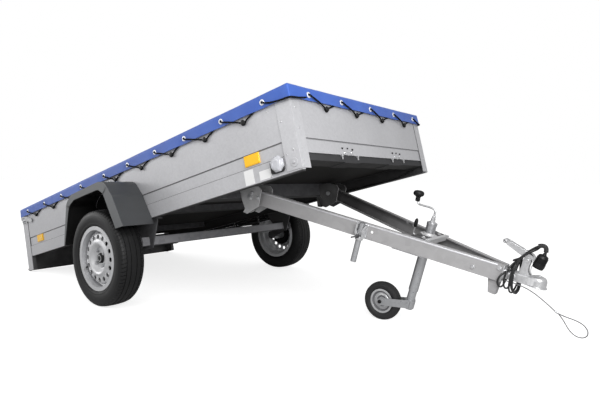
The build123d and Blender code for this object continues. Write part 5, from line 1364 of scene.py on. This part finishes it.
# %% Tailgate latches and hinge leaves
lever_outline = [(-1352, 486), (-1240, 462), (-1178, 440), (-1174, 426), (-1182, 410), (-1250, 430),
                 (-1348, 452)]
toggle_outline = [(-1300, 478), (-1290, 478), (-1262, 418), (-1272, 414)]
latch_shapes, leaf_shapes = [], []
for side in (-1, 1):
    latch_shapes.append((*pushed(lever_outline, side * 647.5, side * 652), bed))
    latch_shapes.append((*pushed(toggle_outline, side * 643, side * 648), bed))
    latch_shapes += rivet(facing(bed, (-1335, side * 652, 469), (0, side, 0)), 15, 4)
    for y in (250, 520):
        leaf = boxed((TAIL - 3.2, side * y - 34, 252), (TAIL + 2.2, side * y + 34, 300))
        leaf_shapes.append((*leaf, bed))
        for offset in (-22, 22):
            leaf_shapes += rivet(facing(bed, (TAIL - 3.2, side * y + offset, 288), (-1, 0, 0)), 10, 3)
piece("tailgate_latch_levers", latch_shapes, "bed", bright_zinc, bevel_mm=1.5)
piece("tailgate_hinge_leaves", leaf_shapes, "tailgate", galvanised_plate, bevel_mm=0.8)
print("tailgate latched")

# %% [markdown]
# ## Wiring under the bed
# The tail lamps' cables run in a black corrugated conduit, clipped all along the left wall's lower edge. It
# is drawn as a turned rod with a rib every 10 mm, and it is held too closely to hang free. A thinner cable
# leaves it near the front, to meet the lead.

# %% Conduit and clips
CONDUIT_FROM, CONDUIT_TO, RIB_PITCH = -1258.0, 236.0, 10
ribs = int((CONDUIT_TO - CONDUIT_FROM) / RIB_PITCH)
one_rib = ((9.0, 0), (11.5, 2), (11.5, 6), (9.0, 8))
conduit_profile = [(0, 0)] + [(r, RIB_PITCH * k + z) for k in range(ribs) for r, z in one_rib]
conduit_profile += [(0, RIB_PITCH * ribs)]
conduits = [(*turned(conduit_profile, 14), facing(bed, (CONDUIT_FROM, 628, z), (1, 0, 0)))
            for z in (153, 130)]
piece("tail_lamp_conduit", conduits, "bed", black_nylon, smooth=50)
front_cable = eased([(236, 628, 152), (330, 626, 158), (420, 618, 176), (700, 614, 182), (980, 610, 180),
                     (1160, 606, 170), (1240, 600, 182), (1330, 590, 196)])
piece("front_cable", [(*swept(front_cable, 4.2, 10), bed)], "bed", lead_sheath)
clips = [(*boxed((x - 7, 614, 116), (x + 7, 641.5, 168)), bed) for x in range(-1200, 240, 280)]
piece("conduit_clips", clips, "bed", galvanised_plate, bevel_mm=1.5)
print("tail and wiring done")

# %% [markdown]
# ## Jockey wheel
# The jockey wheel's rim is two pressed discs with steps that stiffen them, round a plastic bush. Its middle
# is read from the solid rim, so the pressings sit on it wherever it stands. The bottom of each step is
# darkened by thin grey rings that lie half a millimetre over the pressings: painted shade in the recesses.

# %% Jockey wheel pressings and caps
def world_box(name):
    """The middle of a node's box and its size, in mm on the ground."""
    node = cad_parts[name]
    corners = [node.matrix_world @ Vector(corner) / MM for corner in node.bound_box]
    low, high = [Vector([pick(c[axis] for c in corners) for axis in range(3)]) for pick in (min, max)]
    return (low + high) / 2, high - low


rim_middle = world_box("jockey_rim")[0]
fork_middle, fork_size = world_box("jockey_fork")
print("jockey rim", [round(c, 1) for c in rim_middle], "mm; fork", round(fork_size[1], 1), "mm wide")
rim_shade = grained("painted_shade_on_zinc", "#4E4E50", "#77777A", 0.6, 9, 0.1)
step_profile = [(61.5, 18.4), (61.5, 19.3), (53.2, 19.6), (50, 15.5), (46, 10.2), (40, 9.8), (36.5, 12.6),
                (29, 12.8), (25.5, 9.4), (20.6, 9.0)]
cap_profile = [(6.2, -7.5), (9.5, -7.5), (9.5, -1), (7, 0.8), (0, 0.8)]
pressings, caps = [], []
for side in (-1, 1):
    pressings.append((*open_turned(step_profile, 48), facing(ground, rim_middle, (0, side, 0))))
    end = Vector((rim_middle[0], fork_middle[1] + side * fork_size[1] / 2, rim_middle[2]))
    caps.append((*turned(cap_profile, 24), facing(ground, end, (0, side, 0))))
piece("jockey_rim_pressings", pressings, "jockey_wheel", bright_zinc, smooth=40)
# thin grey rings in the bottom of each step paint the shade there
shade_ring_profiles = [[(52.4, 18.9), (50.4, 16.1), (46.2, 10.7), (43.0, 10.3)],
                 [(29.4, 13.1), (25.8, 9.9), (20.6, 9.4)]]
shade_rings = [(*open_turned(profile, 48), facing(ground, rim_middle, (0, side, 0)))
              for profile in shade_ring_profiles for side in (-1, 1)]
piece("jockey_rim_shade_rings", shade_rings, "jockey_wheel", rim_shade, smooth=40)
piece("jockey_axle_caps", caps, "jockey_caster", black_nylon, smooth=40)

# %% Front strap and flange of the jockey wheel's plate
strap_shapes = [(*boxed((866, -124, 42.6), (887, 124, 46.5)), bar),
                (*boxed((884.2, -124, 24), (887, 124, 46.5)), bar)]
tube_flange = turned([(24.2, 0), (42, 0), (42, 3), (31, 4), (27, 12), (24.2, 12)], 40)
strap_shapes.append((*tube_flange, facing(bar, (TUBE_X, 0, 42.6), (0, 0, 1))))
for y in (-96, 96):
    strap_shapes += bolt(facing(bar, (846, y, 42.6), (0, 0, 1)), 13, 7, 22)
piece("jockey_plate_strap", strap_shapes, "drawbar", galvanised_plate, bevel_mm=0.8,
      smooth=40)
print("jockey wheel dressed")

# %% [markdown]
# ## Finish of the solid pieces
# Most of the trailer is folded and welded steel whose shape the solid model already has. Those pieces only
# need their finish. A few also get a small bevel, because a folded or moulded edge is never perfectly sharp
# and catches a thin line of light.

# %% Finishes for the solid nodes
NODE_FINISH = {
    galvanised_sheet: ["side_wall_left", "side_wall_right", "front_wall", "lamp_board"],
    galvanised_gate: ["tailgate"],
    galvanised_post: ["front_corner_posts", "rear_corner_posts"],
    galvanised_frame: ["drawbar_beam_left", "drawbar_beam_right", "coupling_foot"],
    underframe_shade: ["chassis_side_rails", "pivot_crossmember", "floor_crossmembers",
                       "axle_brackets", "swing_arms", "mudguard_stays"],
    galvanised_axle: ["axle_beam"],
    galvanised_shade: ["front_crossmember"],
    shaded_jockey_plate: ["jockey_mount_plates"],
    galvanised_plate: ["pivot_brackets"],
    zinc_plate: ["tailgate_latches", "pivot_bolts", "hub_left", "hub_right", "jockey_outer_tube",
                 "jockey_crank", "jockey_clamp_handle", "jockey_inner_tube", "jockey_fork", "coupling_body",
                 "coupling_handle", "prop_clamp", "prop_leg", "steel_cable", "steel_cable_loop",
                 "steel_cable_ferrule"],
    floor_board: ["floor_panel"],
    tarpaulin_cloth: ["tarpaulin"],
    guard_plastic: ["mudguard_left", "mudguard_right"],
    black_nylon: ["tarpaulin_hooks", "marker_lamp_bases", "lead_plug"],
    black_rubber: ["rear_buffers", "jockey_tyre"],
    lead_sheath: ["lead_coil", "lead_tail"],
    tyre_rubber: ["tyre_left", "tyre_right"],
    wheel_silver: ["rim_left", "rim_right", "jockey_rim"],
    amber_lens: ["side_reflectors"],
    white_lens: ["marker_lamp_lenses"],
    red_lens: ["rear_lamps", "rear_triangles"],
    plate_white: ["number_plate"],
}
for finish, names in NODE_FINISH.items():
    for name in names:
        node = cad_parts[name]
        node.data.materials.clear()
        node.data.materials.append(finish)
print("finished", sum(len(names) for names in NODE_FINISH.values()), "nodes")

# %% Folded and moulded edges
EDGES = {"mudguard_left": 2.5, "mudguard_right": 2.5, "front_corner_posts": 1.4, "rear_corner_posts": 1.4,
         "coupling_foot": 1.5, "axle_beam": 2.0}                        # each bevel's width, in mm
for name, width_mm in EDGES.items():
    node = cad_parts[name]
    # the solid's faces meet but share no points, so they are joined first
    joined = node.modifiers.new("joined", "WELD")
    joined.merge_threshold = 0.02 * MM
    edge = node.modifiers.new("moulded_edges", "BEVEL")
    edge.width, edge.segments = width_mm * MM, 2
    edge.limit_method, edge.angle_limit = "ANGLE", radians(50)
    edge.harden_normals = True                    # flat faces stay flat beside the rounded edge
print(len(EDGES), "nodes with rounded edges")

# %% [markdown]
# ## Floor and light
# A catalogue picture is lit by large soft boxes, so that sheet metal reads as metal without hard glare. One
# big area lamp stands above the camera, three weaker ones light the near side, the tail's corner and the
# drawbar, and the white world fills the rest. The floor is pale, and the camera sees it as white, while its
# shadows stay.

# %% Floor
def seen_directly(tree):
    """A socket that is 1 for what the camera sees itself or through a lens, and 0 for reflected light."""
    rays = add_node(tree, "LightPath").outputs
    seen = add_node(tree, "Math", {0: rays["Is Camera Ray"], 1: rays["Is Transmission Ray"]},
                    operation="MAXIMUM")
    return seen.outputs[0]


floor_mesh = bpy.data.meshes.new("studio_floor")
REACH, FLOOR_GLOW = 60.0, 0.79                    # metres, and what lifts the pale floor to white
floor_corners = [(-REACH, -REACH, 0), (REACH, -REACH, 0), (REACH, REACH, 0), (-REACH, REACH, 0)]
floor_mesh.from_pydata(floor_corners, [], [(0, 1, 2, 3)])
floor = bpy.data.objects.new("studio_floor", floor_mesh)
bpy.context.scene.collection.objects.link(floor)
floor_white, tree, shader = finish_of("pale_studio_floor", "#C9C9C9", Roughness=0.9)
glow = add_node(tree, "Math", {0: seen_directly(tree), 1: FLOOR_GLOW}, operation="MULTIPLY")
shine = add_node(tree, "Emission", {"Color": (1, 1, 1, 1), "Strength": glow.outputs[0]})
both = add_node(tree, "AddShader", {0: shader.outputs[0], 1: shine.outputs[0]})
tree.links.new(both.outputs[0], tree.nodes["Material Output"].inputs["Surface"])
floor_mesh.materials.append(floor_white)
print("floor", 2 * REACH, "m wide")

# %% World and lamps
world = bpy.data.worlds.new("studio")
bpy.context.scene.world = world
world.use_nodes = True
tree = world.node_tree
# the world lights with half its strength, but looks fully white
strength = add_node(tree, "MapRange", {0: seen_directly(tree), 3: 0.5, 4: 1.0})
tree.nodes["Background"].inputs["Color"].default_value = (1, 1, 1, 1)
tree.links.new(strength.outputs[0], tree.nodes["Background"].inputs["Strength"])


def soft_box(name, place, aim, size, watts):
    """A square area lamp that looks at a point."""
    lamp = bpy.data.lights.new(name, "AREA")
    lamp.size, lamp.energy = size, watts
    made = bpy.data.objects.new(name, lamp)
    made.location = place
    made.rotation_euler = (Vector(aim) - Vector(place)).to_track_quat("-Z", "Y").to_euler()
    bpy.context.scene.collection.objects.link(made)
    return made


soft_box("key_box", (3.2, -3.4, 4.6), (0.2, 0, 0.5), 3.0, 95)
soft_box("side_box", (-2.5, -5.0, 3.0), (-0.5, 0, 0.4), 3.0, 31)
soft_box("rear_side_box", (-4.9, -2.7, 1.6), (-1.4, -0.7, 0.4), 2.0, 42)
soft_box("front_box", (2.5, -1.5, 1.4), (0.9, -0.5, 0.8), 0.9, 34)
bpy.context.scene.view_settings.view_transform = "Standard"
